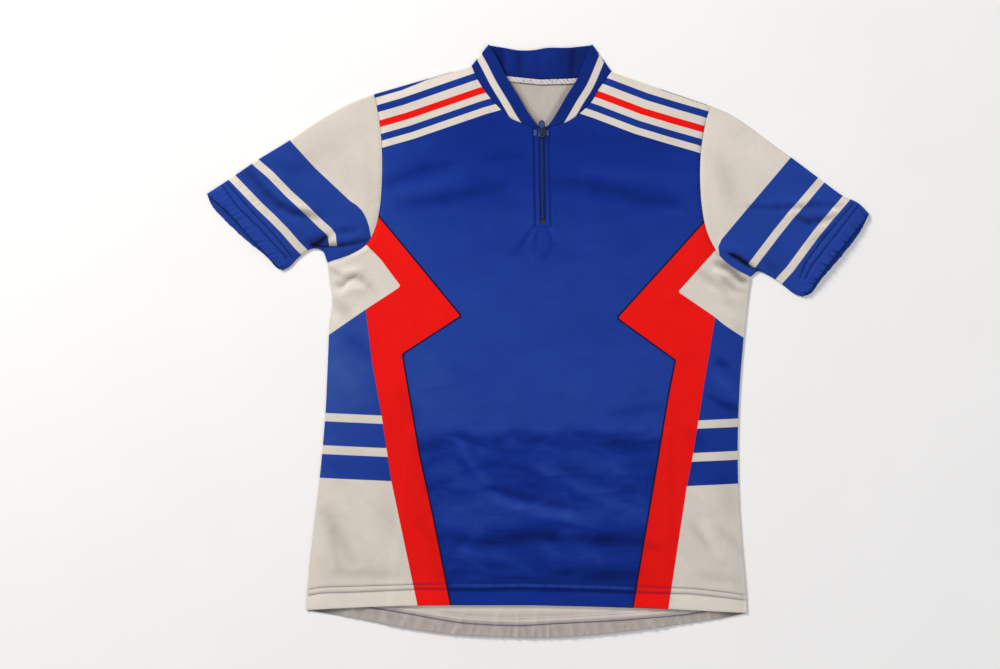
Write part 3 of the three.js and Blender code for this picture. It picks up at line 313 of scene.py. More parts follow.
def half_panel(side, armhole, shoulder, neck, hem, outward):
    """Half of the front or the back, with the pocket's top and the zip's end each on a row of its own."""
    share = (rows - ROW_MARKS["underarm"]) / (ROW_MARKS["top"] - ROW_MARKS["underarm"])
    low = rows <= ROW_MARKS["underarm"]
    stops = [ROW_MARKS[k] for k in ("hem", "pocket", "underarm")]
    side_y = np.interp(rows, stops, [side[0][1], POCKET["top"], side[-1][1]])
    edge = np.where(low[:, None], at_value(side, 1, side_y), at_share(armhole, np.clip(share, 0, 1)))
    middle_y = np.interp(rows, list(ROW_MARKS.values()),
                         [hem[-1][1], POCKET["top"], UNDERARM_Y, ZIP["bottom_y"], neck[-1][1]])
    below = np.interp(middle_y, [hem[-1][1], ZIP["bottom_y"]], [ZIP["hem_x"], ZIP["bottom_x"]])
    above = np.interp(middle_y, [ZIP["bottom_y"], ZIP["top_y"]], [ZIP["bottom_x"], ZIP["top_x"]])
    middle_x = np.where(middle_y < ZIP["bottom_y"], below, above) + outward * ZIP["slot_half"]
    middle = np.stack([middle_x, middle_y], axis=-1)
    shoulder_share = half_columns / COLUMN_MARKS["neck"]
    neck_share = (half_columns - COLUMN_MARKS["neck"]) / (COLUMN_MARKS["zip"] - COLUMN_MARKS["neck"])
    on_shoulder = half_columns <= COLUMN_MARKS["neck"]
    top = np.where(on_shoulder[:, None], at_share(shoulder, np.clip(shoulder_share, 0, 1)),
                   at_share(neck, np.clip(neck_share, 0, 1)))
    top[-1] = middle[-1]
    across = (top[:, 0] - top[0, 0]) / (top[-1, 0] - top[0, 0])
    bottom = at_value(hem, 0, hem[0][0] + across * (hem[-1][0] - hem[0][0]))
    up = (middle[:, 1] - middle[0, 1]) / (middle[-1, 1] - middle[0, 1])
    return fill_between(bottom, top, edge, middle, across, up)


def whole_panel(right, left):
    return np.concatenate([half_panel(*right, -1), half_panel(*left, 1)[:, ::-1]], axis=1)


def fold_rise(folds, xy):
    """Height that soft straight folds add at each point, fading out past their ends."""
    total = np.zeros(xy.shape[:-1])
    for x0, y0, x1, y1, half, rise in folds:
        start, run = np.array((x0, y0), float), np.array((x1 - x0, y1 - y0), float)
        t = ((xy - start) @ run) / (run @ run)
        near = start + np.clip(t, 0, 1)[..., None] * run
        away = np.linalg.norm(xy - near, axis=-1)
        belly = 0.65 + 0.35 * np.sin(np.clip(t, 0, 1) * math.pi)
        total += rise * belly * bell(away, half)
    return total


def pocket_right(y):
    return np.interp(y, [POCKET["bottom"], POCKET["top"]], [POCKET["low_right"], POCKET["right"]])


def pocket_step(xy):
    """How far the pocket underneath lifts the cloth, with a soft shoulder just outside its edges."""
    x, y = xy[..., 0], xy[..., 1]
    out, ramp = POCKET["shoulder"]
    across = smooth((x - pocket_right(y) + out) / ramp) * smooth((POCKET["left"] + out - x) / ramp)
    return POCKET["step"] * across * smooth((POCKET["top"] + out - y) / ramp)


def edge_line_distance(xy, line):
    """Distance to a line of straight stretches."""
    best = np.full(xy.shape[:-1], 1e9)
    for a, b in zip(np.array(line, float), np.array(line[1:], float)):
        run = b - a
        t = np.clip(((xy - a) @ run) / (run @ run), 0, 1)
        best = np.minimum(best, np.linalg.norm(xy - a - t[..., None] * run, axis=-1))
    return best


front_xy = whole_panel((SIDE_RIGHT, ARMHOLE_RIGHT, SHOULDER_RIGHT, NECK_RIGHT, HEM_RIGHT),
                       (SIDE_LEFT, ARMHOLE_LEFT, SHOULDER_LEFT, NECK_LEFT, HEM_LEFT))
front_columns = np.concatenate([half_columns, half_columns[::-1]])
SLOT_COLUMN = len(half_columns) - 1
SLOT_ROW = int(np.argmin(abs(rows - ROW_MARKS["slot"])))
UNDERARM_ROW = int(np.argmin(abs(rows - ROW_MARKS["underarm"])))


def armhole_air(row):
    t = (row - ROW_MARKS["underarm"]) / (ROW_MARKS["top"] - ROW_MARKS["underarm"])
    return np.where(t > 0, ARMHOLE_AIR * np.sin(math.pi * np.clip(t, 0, 1)) ** 0.6, 0.0)


# The zip's stitched box: how far its long sides stand from the coil's middle, and its lower end.
STITCH_AWAY, BOX_LOW = 9.6, 143.0
# The placket is a little raised beside the zip: how much, how far out, how it fades, and how far below.
PLACKET = dict(rise=0.6, flat=12, fade=22, below=40, ramp=30)
# Sewing draws cloth down along its line and puffs it up beside it: dip, its half width, swell, how far
# off the swell stands and its half width.
ZIP_RELIEF = (0.75, 1.3, 0.3, 3.4, 2)
ARMHOLE_RELIEF = (0.5, 2, 0.45, 6, 3.5)
HEM_RELIEF = dict(dip=0.9, dip_half=1.7, swell=0.5, rows_apart=6.4, swell_half=5, tube=0.9, tube_half=1.8)


def zip_x(y):
    return np.interp(y, [ZIP["bottom_y"], ZIP["top_y"]], [ZIP["bottom_x"], ZIP["top_x"]])


def beside_zip(xy):
    """Distance from the long sides of the zip's stitched box."""
    return abs(abs(xy[..., 0] - zip_x(xy[..., 1])) - STITCH_AWAY)


def above_box(y):
    return smooth((y - BOX_LOW + 2) / 3)


def seam_relief(away, dip, dip_half, swell, swell_away, swell_half):
    return swell * bell(away - swell_away, swell_half) - dip * bell(away, dip_half)


def front_height(xy):
    """Mid height of the front: rolled down to the back at its seams, with folds and the zip's ridge."""
    side_air = armhole_air(rows)[:, None]
    top_air = (NECK_AIR * smooth((front_columns - COLUMN_MARKS["neck"] + 0.6) / 3))[None]
    edges = [(xy[:, :1], side_air), (xy[:, -1:], side_air), (xy[-1:], top_air), (xy[:1], HEM_AIR)]
    air = np.full(xy.shape[:-1], FRONT_AIR)
    hold = np.zeros(xy.shape[:-1])
    for edge, edge_air in edges:
        share = np.exp(-(np.linalg.norm(xy - edge, axis=-1) / SIDE_ROLL) ** 1.5)
        air -= (FRONT_AIR - edge_air) * share
        hold = np.maximum(hold, share)
    from_zip = abs(xy[..., 0] - ZIP["top_x"])
    placket = PLACKET["rise"] * (1 - smooth((from_zip - PLACKET["flat"]) / PLACKET["fade"]))
    placket *= smooth((xy[..., 1] - ZIP["bottom_y"] + PLACKET["below"]) / PLACKET["ramp"])
    air = np.maximum(air, 0) + placket + fold_rise(FRONT_FOLDS, xy) * (1 - hold)
    hem = HEM_RELIEF
    rows_away = [edge_line_distance(xy, row) for row in HEM_ROWS]
    air -= sum(hem["dip"] * bell(away, hem["dip_half"]) for away in rows_away)
    air += hem["swell"] * bell(rows_away[0] + rows_away[1] - hem["rows_apart"], hem["swell_half"])
    air += hem["tube"] * bell(edge_line_distance(xy, HEM_TUBE), hem["tube_half"])
    air += seam_relief(beside_zip(xy), *ZIP_RELIEF) * above_box(xy[..., 1])
    for armhole in (ARMHOLE_RIGHT, ARMHOLE_LEFT):
        air += seam_relief(edge_line_distance(xy, curve_line(armhole)), *ARMHOLE_RELIEF)
    return FRONT_LIFT + pocket_step(xy) + np.maximum(air, 0.0)


front_z = front_height(front_xy)


def thin_shell(name, mid, thickness, kept=None, ring=False):
    """A cloth shell round a grid of mid points in mm: outer face, inner face and a rim. kept leaves
    cells out, and a ring is closed across its last column."""
    along_i = np.gradient(mid, axis=1) if not ring else np.roll(mid, -1, 1) - np.roll(mid, 1, 1)
    along_j = np.gradient(mid, axis=0)
    normal = np.cross(along_i, along_j)
    normal /= np.linalg.norm(normal, axis=-1, keepdims=True)
    outer, inner = mid + normal * thickness / 2, mid - normal * thickness / 2
    n_rows, n_columns = mid.shape[:2]
    count = n_rows * n_columns
    cells_i = n_columns if ring else n_columns - 1
    alive = np.ones((n_rows - 1, cells_i), bool) if kept is None else kept
    j, i = np.nonzero(alive)
    ni = (i + 1) % n_columns
    quads = np.stack([j * n_columns + i, j * n_columns + ni, (j + 1) * n_columns + ni,
                      (j + 1) * n_columns + i], axis=1)
    rim = []
    for side, (dj, di) in enumerate([(-1, 0), (0, 1), (1, 0), (0, -1)]):
        oj, oi = j + dj, (i + di) % cells_i if ring else i + di
        inside = (oj >= 0) & (oj < n_rows - 1) & (oi >= 0) & (oi < cells_i)
        open_side = ~inside
        open_side[inside] = ~alive[oj[inside], oi[inside]]
        a, b = quads[open_side, side], quads[open_side, (side + 1) % 4]
        rim.append(np.stack([b, a, a + count, b + count], axis=1))
    rim = np.vstack(rim)
    faces = np.vstack([quads, quads[:, ::-1] + count, rim])
    points = np.vstack([outer.reshape(-1, 3), inner.reshape(-1, 3)]) * MM
    mesh = bpy.data.meshes.new(name)
    mesh.from_pydata(points.tolist(), [], faces.tolist())
    slots = np.concatenate([np.zeros(len(quads), int), np.ones(len(quads), int), np.zeros(len(rim), int)])
    mesh.polygons.foreach_set("material_index", slots)
    mesh.polygons.foreach_set("use_smooth", np.ones(len(faces), bool))
    mesh.update()
    piece = bpy.data.objects.new(name, mesh)
    bpy.context.collection.objects.link(piece)
    return piece


def store_field(piece, name, values):
    """Keeps one number a point, the same on the outer and the inner face, for the print to read."""
    field = piece.data.attributes.new(name, "FLOAT", "POINT")
    field.data.foreach_set("value", np.tile(np.asarray(values, float).ravel(), 2))


# Edges of the print, from the armhole or the side down past the back's hem.
RED_RIGHT = [(-198.8, 155.9), (-96.9, 32.2), (-170.2, -15.3), (-148.2, -142.8), (-132, -216.6),
             (-109.8, -328.6), (-104.2, -380)]
RED_LEFT = [(208.1, 149.7), (99.4, 29.7), (172.1, -22.8), (162.4, -72.8), (150.2, -146.6),
            (118.8, -332.8), (112, -380)]
SIDE_PART_RIGHT = [(-213.8, 120.3), (-195.9, 102.2), (-185.5, 88), (-171.2, 69.1), (-215, 40.3),
                   (-207.1, -25.3), (-195.6, -90.3), (-182.9, -175.3), (-170, -236.6), (-150.4, -329.7),
                   (-139, -380)]
SIDE_PART_LEFT = [(221.9, 114.7), (174.8, 62.2), (221.2, 30.6), (206.2, -59.1), (204.2, -72.8),
                  (192.5, -146.6), (185.8, -180.3), (162.5, -334.1), (156, -380)]
PATCH_RIGHT = [(-275, -1), (-259.6, 9.7), (-215, 40.3), (-185, 59.7), (-171.2, 69.1), (-150, 83)]
PATCH_LEFT = [(155, 76), (174.8, 62.2), (221.2, 30.3), (231.9, 21.4), (245.6, 12.2), (257.5, 4.7),
              (275, -7)]
# Where the white stripes of the side start and end below the chest line, and how much they slope.
SIDE_STRIPE_STOPS = dict(first_white=89, first_end=99.3, second_white=129.4, second_end=140.3,
                         low_white=170.3)
SIDE_STRIPE_SLOPE = 0.045
PATCH_EDGE_SLANT = 0.84
# Shoulder stripes, by their distance below the shoulder seam.
SHOULDER_STOPS = [(0.0, "white"), (8.5, "blue"), (17.5, "white"), (27.8, "red"), (36.2, "white"),
                  (44.5, "blue"), (53.0, "white"), (61.7, "blue")]
SHOULDER_SPAN = 80.0


def inside_area(xy, area):
    """True for points inside a closed outline."""
    x, y = xy[..., 0], xy[..., 1]
    inside = np.zeros(x.shape, bool)
    outline = np.array(area, float)
    for (ax, ay), (bx, by) in zip(outline, np.roll(outline, -1, 0)):
        crosses = (ay > y) != (by > y)
        with np.errstate(divide="ignore", invalid="ignore"):
            at_x = (bx - ax) * (y - ay) / (by - ay) + ax
        inside ^= crosses & (x < at_x)
    return inside


def band_field(xy, line, outward):
    """Distance beyond a print's edge line, positive on the side-seam side."""
    far = outward * 600
    area = [(far, line[0][1]), *line, (far, line[-1][1])]
    return np.where(inside_area(xy, area), 1, -1) * edge_line_distance(xy, line)


# How much painted shade a crease gets and how much painted highlight a ridge gets, for each mm, and the
# limits of both.
CREASE = dict(deeper=0.1, lighter=0.04, deepest=0.35, lightest=1.14)


def painted_crease_shade(rise):
    """Painted shade in the cloth's creases and painted highlight on its ridges."""
    tone = 1 + CREASE["deeper"] * np.minimum(rise, 0) + CREASE["lighter"] * np.maximum(rise, 0)
    return np.clip(tone, CREASE["deepest"], CREASE["lightest"])


def print_fields(piece, xy):
    """Distances from the edges of the print, which the knit's material turns into ink."""
    right = xy[..., 0] < ZIP["hem_x"]
    red = np.where(right, band_field(xy, RED_RIGHT, -1), band_field(xy, RED_LEFT, 1))
    side = np.where(right, band_field(xy, SIDE_PART_RIGHT, -1), band_field(xy, SIDE_PART_LEFT, 1))
    x, y = xy[..., 0], xy[..., 1]
    patch_y = np.where(right, read_off(PATCH_RIGHT, x), read_off(PATCH_LEFT, x))
    tilt = np.where(right, SIDE_STRIPE_SLOPE * (x + 266), SIDE_STRIPE_SLOPE * (250 - x) + 7)
    store_field(piece, "red_band", red)
    store_field(piece, "side_part", side)
    store_field(piece, "side_patch", (y - patch_y) * PATCH_EDGE_SLANT)
    store_field(piece, "side_run", -y - tilt)
    run = np.zeros(x.shape)
    sliver = np.zeros(x.shape)
    # Each half: the shoulder line, its side, how far the stripes sit below it and the first sliver's width.
    halves = [
        (SHOULDER_RIGHT, x < ZIP["top_x"], ([0.25, 1.0], [5.4, 0.0]),
         ([0, 0.27, 0.42, 0.6], [4.6, 4.6, 2.6, -0.6])),
        (SHOULDER_LEFT, x >= ZIP["top_x"], ([0, 0.3, 0.6, 1.0], [-1.5, 0.5, 1.9, 0.0]),
         ([0, 1], [-2, -2])),
    ]
    for ends, mine, set_down, widths in halves:
        a, b = np.array(ends[0], float), np.array(ends[-1], float)
        t = ((xy - a) @ (b - a)) / ((b - a) @ (b - a))
        below = np.linalg.norm(xy - a - t[..., None] * (b - a), axis=-1)
        above = (xy[..., 1] > a[1] + t * (b - a)[1])
        run = np.where(mine, np.where(above, -below, below) - np.interp(t, *set_down), run)
        sliver = np.where(mine, np.interp(t, *widths) - np.where(above, 0, below), sliver)
    store_field(piece, "shoulder_run", run)
    store_field(piece, "shoulder_sliver", sliver)


# Painted shade at the front's sewn lines: light lost and the half width of each. The turned hem is painted
# lighter.
SEWN_SHADE = dict(zip=(0.34, 1.5), hem=(0.2, 1.5), armhole=(0.3, 1.3))
TURNED_HEM_LIGHT = 0.14
# Painted sheen along the blue tube of the hem and painted shade below it, and how smooth the knit lies where
# nothing has crumpled it.
TUBE_SHEEN_AND_SHADE = dict(gain=0.5, half=2.3, loss=0.5, loss_half=2.2)
LEAST_RUMPLED = 0.22
CRUMPLED_FROM, CRUMPLED_TO = -302, -102


def painted_light_fields(piece, xy):
    """The front's painted sheen and shade, painted shade in its creases and along its sewn lines, and how
    rumpled its knit is.
    """
    x, y = xy[..., 0], xy[..., 1]
    folds = fold_rise(FRONT_FOLDS, xy)
    in_pocket = smooth((x - pocket_right(y) + 14) / 30) * smooth((POCKET["left"] + 14 - x) / 30)
    # Painted sheen and shade of the blue, for how the slopes of the cloth catch the light.
    wavy = y + 2.2 * np.sin(x / 15) + 1.4 * np.sin(x / 6.3 + 1)
    lit_tone = read_off(SHEEN_AND_SHADE_UP, wavy) * in_pocket + read_off(SIDE_SHEEN_AND_SHADE, y) * (1 - in_pocket)
    tube = bell(edge_line_distance(xy, HEM_TUBE), TUBE_SHEEN_AND_SHADE["half"])
    under_tube = bell(edge_line_distance(xy, HEM_ROWS[1]), TUBE_SHEEN_AND_SHADE["loss_half"])
    lit_tone += read_off(SHEEN_AND_SHADE_ACROSS, x) + SHEEN_PER_RISE * folds - TUBE_SHEEN_AND_SHADE["loss"] * under_tube
    lit_tone += TUBE_SHEEN_AND_SHADE["gain"] * tube * (1 + 0.4 * np.sin(x / 1.7) * np.sin(x / 5.3))
    low = smooth((CRUMPLED_TO - y) / 16) * smooth((y - CRUMPLED_FROM) / 8)
    store_field(piece, "rumpled", LEAST_RUMPLED + (1 - LEAST_RUMPLED) * low * in_pocket)
    store_field(piece, "painted_sheen_and_shade", lit_tone)
    deep, half = SEWN_SHADE["zip"]
    seam_shade = deep * bell(beside_zip(xy), half) * above_box(y)
    armholes = [curve_line(armhole) for armhole in (ARMHOLE_RIGHT, ARMHOLE_LEFT)]
    for kind, lines in (("hem", HEM_ROWS), ("armhole", armholes)):
        deep, half = SEWN_SHADE[kind]
        seam_shade += sum(deep * bell(edge_line_distance(xy, line), half) for line in lines)
    turned = smooth((y - read_off(FRONT_HEM, x)) / 4) * (1 - smooth((y - read_off(HEM_ROWS[1], x) + 3) / 3))
    tone = painted_crease_shade(folds) * (1 - seam_shade) * (1 + TURNED_HEM_LIGHT * turned)
    store_field(piece, "painted_shading", tone * read_off(DULLER_LOW, y))


INK = dict(blue="17368c", red="ec1511", white="dad2c8", seam_line="15122c", sleeve_blue="203f96")
# The body's blue by its painted sheen and shade: deep where it is painted in shade, pale where it is painted
# lit.
BLUE_TONES = ((0.0, "051d68"), (0.5, "102e8a"), (1.0, "203f98"), (1.35, "32509c"))
SHEEN_AND_SHADE_SPAN = 1.4
# A rib of the knit and the hollow beside it are drawn 1.1 mm wide each, so 2.2 mm a stitch, about four
# times as coarse as real ones, which would be too fine to show. Fibre lumps measure about 2 mm, rumples
# 26 mm and worn patches 38 mm.
KNIT = dict(rib_mm=1.1, fibres_per_m=480.0, rumples_per_m=38.0, patches_per_m=26.0,
            fibre_tone=(0.965, 1.03), patch_tone=(0.955, 1.04), rumple_mm=1.6, wale_mm=0.2)


def field_mask(tree, name, low, high=None, soft=0.35):
    """1 where the named field lies between two values, with an edge as soft as ink in knit."""
    value = add_node(tree, "ShaderNodeAttribute", attribute_name=name).outputs["Fac"]
    rising = add_node(tree, "ShaderNodeMapRange", {"Value": value, "From Min": low - soft,
                                                   "From Max": low + soft}).outputs["Result"]
    if high is None:
        return rising
    falling = add_node(tree, "ShaderNodeMapRange", {"Value": value, "From Min": high - soft,
                                                    "From Max": high + soft, "To Min": 1.0,
                                                    "To Max": 0.0}).outputs["Result"]
    return add_node(tree, "ShaderNodeMath", {0: rising, 1: falling}, operation="MULTIPLY").outputs[0]


def ink_over(tree, base, ink, mask):
    colour = ink if isinstance(ink, bpy.types.NodeSocket) else to_linear(INK[ink])
    return add_node(tree, "ShaderNodeMix", {"Factor": mask, "A": base, "B": colour},
                    data_type="RGBA").outputs["Result"]


def knit_finish(tree, colour, roughness=0.9, sheen=0.02, lumps=0.0):
    """Fine circular knit: matt, with a soft sheen, rows of stitches, mottling from wear, low lumps and the
    piece's painted shade and light.
    """
    position = add_node(tree, "ShaderNodeTexCoord").outputs["Object"]
    wave_scale = 1 / (KNIT["rib_mm"] * MM) / 6.28
    stitch_rows = [add_node(tree, "ShaderNodeTexWave", {"Vector": position, "Scale": wave_scale,
                                                        "Distortion": 0.6, "Detail": 1.0},
                            bands_direction=way).outputs["Fac"] for way in ("X", "Y")]
    stitch = add_node(tree, "ShaderNodeMath", dict(enumerate(stitch_rows)),
                      operation="MULTIPLY").outputs[0]
    wear = add_node(tree, "ShaderNodeTexNoise", {"Vector": position, "Scale": KNIT["patches_per_m"],
                                                 "Detail": 5.0, "Roughness": 0.62}).outputs["Fac"]
    fibre = add_node(tree, "ShaderNodeTexNoise", {"Vector": position, "Scale": KNIT["fibres_per_m"],
                                                  "Detail": 2.0}).outputs["Fac"]
    # Painted shade and light of the piece, kept in its painted_shading field; wear and fibre mottling vary
    # it.
    tone = add_node(tree, "ShaderNodeAttribute", attribute_name="painted_shading").outputs["Fac"]
    for noise, (least, most) in ((wear, KNIT["patch_tone"]), (fibre, KNIT["fibre_tone"])):
        shade = add_node(tree, "ShaderNodeMapRange", {"Value": noise, "From Min": 0.3, "From Max": 0.7,
                                                      "To Min": least, "To Max": most}).outputs["Result"]
        tone = add_node(tree, "ShaderNodeMath", {0: tone, 1: shade}, operation="MULTIPLY").outputs[0]
    worn_and_shaded = add_node(tree, "ShaderNodeHueSaturation", {"Color": colour, "Value": tone}).outputs["Color"]
    rumple = add_node(tree, "ShaderNodeTexNoise", {"Vector": position, "Scale": KNIT["rumples_per_m"],
                                                   "Detail": 3.0, "Roughness": 0.45,
                                                   "Distortion": 0.8}).outputs["Fac"]
    lumpy = add_node(tree, "ShaderNodeMath", {0: rumple, 1: lumps}, operation="ADD").outputs[0]
    waves = add_node(tree, "ShaderNodeBump", {"Strength": 0.35, "Distance": KNIT["rumple_mm"] * MM,
                                              "Height": lumpy})
    bump = add_node(tree, "ShaderNodeBump", {"Strength": 0.15, "Distance": KNIT["wale_mm"] * MM,
                                             "Height": stitch, "Normal": waves.outputs[0]})
    finish_material(tree, {"Base Color": worn_and_shaded, "Roughness": roughness, "Sheen Weight": sheen,
                           "Sheen Roughness": 0.5, "Specular IOR Level": 0.08, "Normal": bump.outputs[0]})


def fill_ramp(ramp, stops, span):
    """Gives a colour ramp its stops, each a place within the span and an sRGB colour."""
    while len(ramp.elements) < len(stops):
        ramp.elements.new(0.5)
    for element, (stop, code) in zip(ramp.elements, stops):
        element.position = stop / span
        element.color = to_linear(code)


# Sublimation-printed knit: the ink sits in the fibre, so it is matt and keeps the knit's own relief.
printed_knit, tree = new_material("printed_polyester_knit")
ramp = add_node(tree, "ShaderNodeValToRGB")
ramp.color_ramp.interpolation = "CONSTANT"
fill_ramp(ramp.color_ramp, [(stop, INK[ink]) for stop, ink in SHOULDER_STOPS], SHOULDER_SPAN)
run = add_node(tree, "ShaderNodeAttribute", attribute_name="shoulder_run").outputs["Fac"]
share = add_node(tree, "ShaderNodeMath", {0: run, 1: SHOULDER_SPAN}, operation="DIVIDE").outputs[0]
tree.links.new(share, ramp.inputs["Fac"])
# The blue's painted sheen and shade, stored per point.
lit_field = add_node(tree, "ShaderNodeAttribute", attribute_name="painted_sheen_and_shade").outputs["Fac"]
# Small slanting lumps, about 70 by 23 mm, strong below the pocket's edge where the cloth was crumpled.
CRUMPLE = dict(slant=0.33, per_m=(15.0, 44.0, 15.0), strength=1.35)
position = add_node(tree, "ShaderNodeTexCoord").outputs["Object"]
slanted = add_node(tree, "ShaderNodeMapping", {"Vector": position, "Rotation": (0.0, 0.0, CRUMPLE["slant"]),
                                               "Scale": CRUMPLE["per_m"]}).outputs["Vector"]
crumple = add_node(tree, "ShaderNodeTexNoise", {"Vector": slanted, "Scale": 1.0, "Detail": 4.0,
                                                "Roughness": 0.5, "Distortion": 0.9}).outputs["Fac"]
rumpled = add_node(tree, "ShaderNodeAttribute", attribute_name="rumpled").outputs["Fac"]
middling = add_node(tree, "ShaderNodeMath", {0: crumple, 1: 0.5}, operation="SUBTRACT").outputs[0]
lumps = add_node(tree, "ShaderNodeMath", {0: middling, 1: rumpled}, operation="MULTIPLY").outputs[0]
# The crumples are painted into the blue's sheen and shade too, besides the bump.
lit_field = add_node(tree, "ShaderNodeMath", {0: lumps, 1: CRUMPLE["strength"], 2: lit_field},
               operation="MULTIPLY_ADD").outputs[0]
lit_share = add_node(tree, "ShaderNodeMath", {0: lit_field, 1: SHEEN_AND_SHADE_SPAN}, operation="DIVIDE").outputs[0]
tones = add_node(tree, "ShaderNodeValToRGB", {"Fac": lit_share})
fill_ramp(tones.color_ramp, BLUE_TONES, SHEEN_AND_SHADE_SPAN)
blue_ink = tones.outputs["Color"]
in_body = field_mask(tree, "shoulder_run", SHOULDER_STOPS[-1][0] + 0.3)
colour = ink_over(tree, ramp.outputs["Color"], "blue", field_mask(tree, "shoulder_sliver", 0.0))
colour = ink_over(tree, colour, blue_ink, in_body)
stripe = blue_ink
for low, high in (("first_white", "first_end"), ("second_white", "second_end"), ("low_white", None)):
    limits = SIDE_STRIPE_STOPS[low], SIDE_STRIPE_STOPS.get(high)
    stripe = ink_over(tree, stripe, "white", field_mask(tree, "side_run", *limits))
stripe = ink_over(tree, stripe, "white", field_mask(tree, "side_patch", 0.0))
colour = ink_over(tree, colour, "red", field_mask(tree, "red_band", 0.0))
colour = ink_over(tree, colour, "seam_line", field_mask(tree, "red_band", -1.8, 0.3, 0.5))
colour = ink_over(tree, colour, stripe, field_mask(tree, "side_part", 0.0))
knit_finish(tree, colour, lumps=lumps)

# The wrong side took no ink: the bare yarn's warm grey-white, as matt as the face.
white_back, tree = new_material("unprinted_knit_wrong_side")
knit_finish(tree, to_linear("c9c1b9"))


def set_in_place(piece, node, shown, tuck_and_pit_shade):
    """Gives a piece of cloth the finish of its two faces and puts it in the place of its solid."""
    piece.data.materials.append(shown)
    piece.data.materials.append(tuck_and_pit_shade)
    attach(piece, "jersey")
    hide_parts(node)


slot_cells = np.ones((len(rows) - 1, front_xy.shape[1] - 1), bool)
slot_cells[SLOT_ROW:, SLOT_COLUMN] = False
front = thin_shell("front_cloth", np.dstack([front_xy, front_z]), CLOTH, kept=slot_cells)
print_fields(front, front_xy)
painted_light_fields(front, front_xy)
set_in_place(front, "front_panel", printed_knit, white_back)


def surface_of(piece):
    mesh = piece.data
    return BVHTree.FromPolygons([v.co.copy() for v in mesh.vertices],
                                [tuple(f.vertices) for f in mesh.polygons])


def bar_faces(base, rings, sides):
    """Faces of a closed bar whose points come ring by ring, from the point numbered base."""
    faces = []
    for start in range(base, base + (rings - 1) * sides, sides):
        for k in range(sides):
            a, b = start + k, start + (k + 1) % sides
            faces.append((a, b, b + sides, a + sides))
    last = base + (rings - 1) * sides
    return faces + [tuple(range(base + sides - 1, base - 1, -1)), tuple(range(last, last + sides))]


# A stitch, from end to end: share of its length and how thick it is there. Rays are cast from afar.
STITCH_SWELL = ((0.0, 0.35), (0.3, 1.0), (0.7, 1.0), (1.0, 0.35))
STITCH_SIDES, STITCH_FLATNESS = 6, 0.8
RAY_FROM = 60


def sewn_row(lines, surface, pitch=2.6, length=2.2, width=0.55, sway=0.0, below=False):
    """Points and faces of rows of stitches that lie on a surface, each a small tapered bead of thread."""
    points, faces = [], []
    side_up = -1 if below else 1
    for line in lines:
        fine = curve_line(line, 40)
        run = np.concatenate([[0], np.cumsum(np.linalg.norm(np.diff(fine, axis=0), axis=1))])
        for n, start in enumerate(np.arange(pitch / 2, run[-1] - length, pitch)):
            ends = [np.array([np.interp(at, run, fine[:, k]) for k in (0, 1)])
                    for at in (start, start + length)]
            along = (ends[1] - ends[0]) / np.linalg.norm(ends[1] - ends[0])
            across = np.array((-along[1], along[0]))
            tilt = sway * (1 if n % 2 else -1) / 2
            ends = [ends[0] - across * tilt, ends[1] + across * tilt]
            faces += bar_faces(len(points), len(STITCH_SWELL), STITCH_SIDES)
            for share, swell in STITCH_SWELL:
                xy = ends[0] * (1 - share) + ends[1] * share
                ray = Vector((xy[0], xy[1], RAY_FROM * side_up)) * MM
                hit, _, _, _ = surface.ray_cast(ray, Vector((0, 0, -side_up)))
                z = (hit.z / MM) if hit else 1.0
                for angle in np.arange(STITCH_SIDES) * 2 * math.pi / STITCH_SIDES:
                    side = across * math.cos(angle) * width / 2 * swell
                    points.append((*(xy + side), z + math.sin(angle) * width / 2 * STITCH_FLATNESS * swell))
    return points, faces


def sewn_piece(name, parts, material):
    """One object from several rows of stitches, or other small closed shapes, in millimetres."""
    points, faces = [], []
    for part_points, part_faces in parts:
        base = len(points)
        points += [tuple(np.array(p) * MM) for p in part_points]
        faces += [tuple(base + k for k in face) for face in part_faces]
    mesh = bpy.data.meshes.new(name)
    mesh.from_pydata(points, [], faces)
    mesh.polygons.foreach_set("use_smooth", np.ones(len(faces), bool))
    mesh.materials.append(material)
    piece = bpy.data.objects.new(name, mesh)
    bpy.context.collection.objects.link(piece)
    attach(piece, "jersey")
    return piece


def thread_material(name, code):
    """Spun polyester thread: a matt yarn whose twist, at 0.7 mm a turn, shows as a light and dark slant."""
    material, tree = new_material(name)
    position = add_node(tree, "ShaderNodeTexCoord").outputs["Object"]
    twist = add_node(tree, "ShaderNodeTexWave", {"Vector": position, "Scale": 900.0, "Distortion": 2.0},
                     bands_direction="DIAGONAL").outputs["Fac"]
    tone = add_node(tree, "ShaderNodeMapRange", {"Value": twist, "To Min": 0.75,
                                                 "To Max": 1.15}).outputs["Result"]
    spun = add_node(tree, "ShaderNodeHueSaturation", {"Color": to_linear(code), "Value": tone})
    finish_material(tree, {"Base Color": spun.outputs["Color"], "Roughness": 0.8, "Specular IOR Level": 0.1})
    return material


blue_thread = thread_material("spun_polyester_thread_blue", "22286c")
front_surface = surface_of(front)
sewn_piece("front_hem_stitching", [sewn_row(HEM_ROWS, front_surface)], blue_thread)
# The overlock of the shoulder seams shows as a short ragged line of violet thread along each edge.
SHOULDER_OVERLOCK = [[(-141, 326.6), (-124, 332.0), (-106, 337.0)],
                     [(212, 295.3), (182, 305.5), (153, 315.3)]]
overlock_thread = thread_material("textured_nylon_overlock_thread", "3a3188")
sewn_piece("shoulder_overlock", [sewn_row(SHOULDER_OVERLOCK, front_surface, pitch=1.7, length=1.5, width=0.8,
                                          sway=1.3)], overlock_thread)

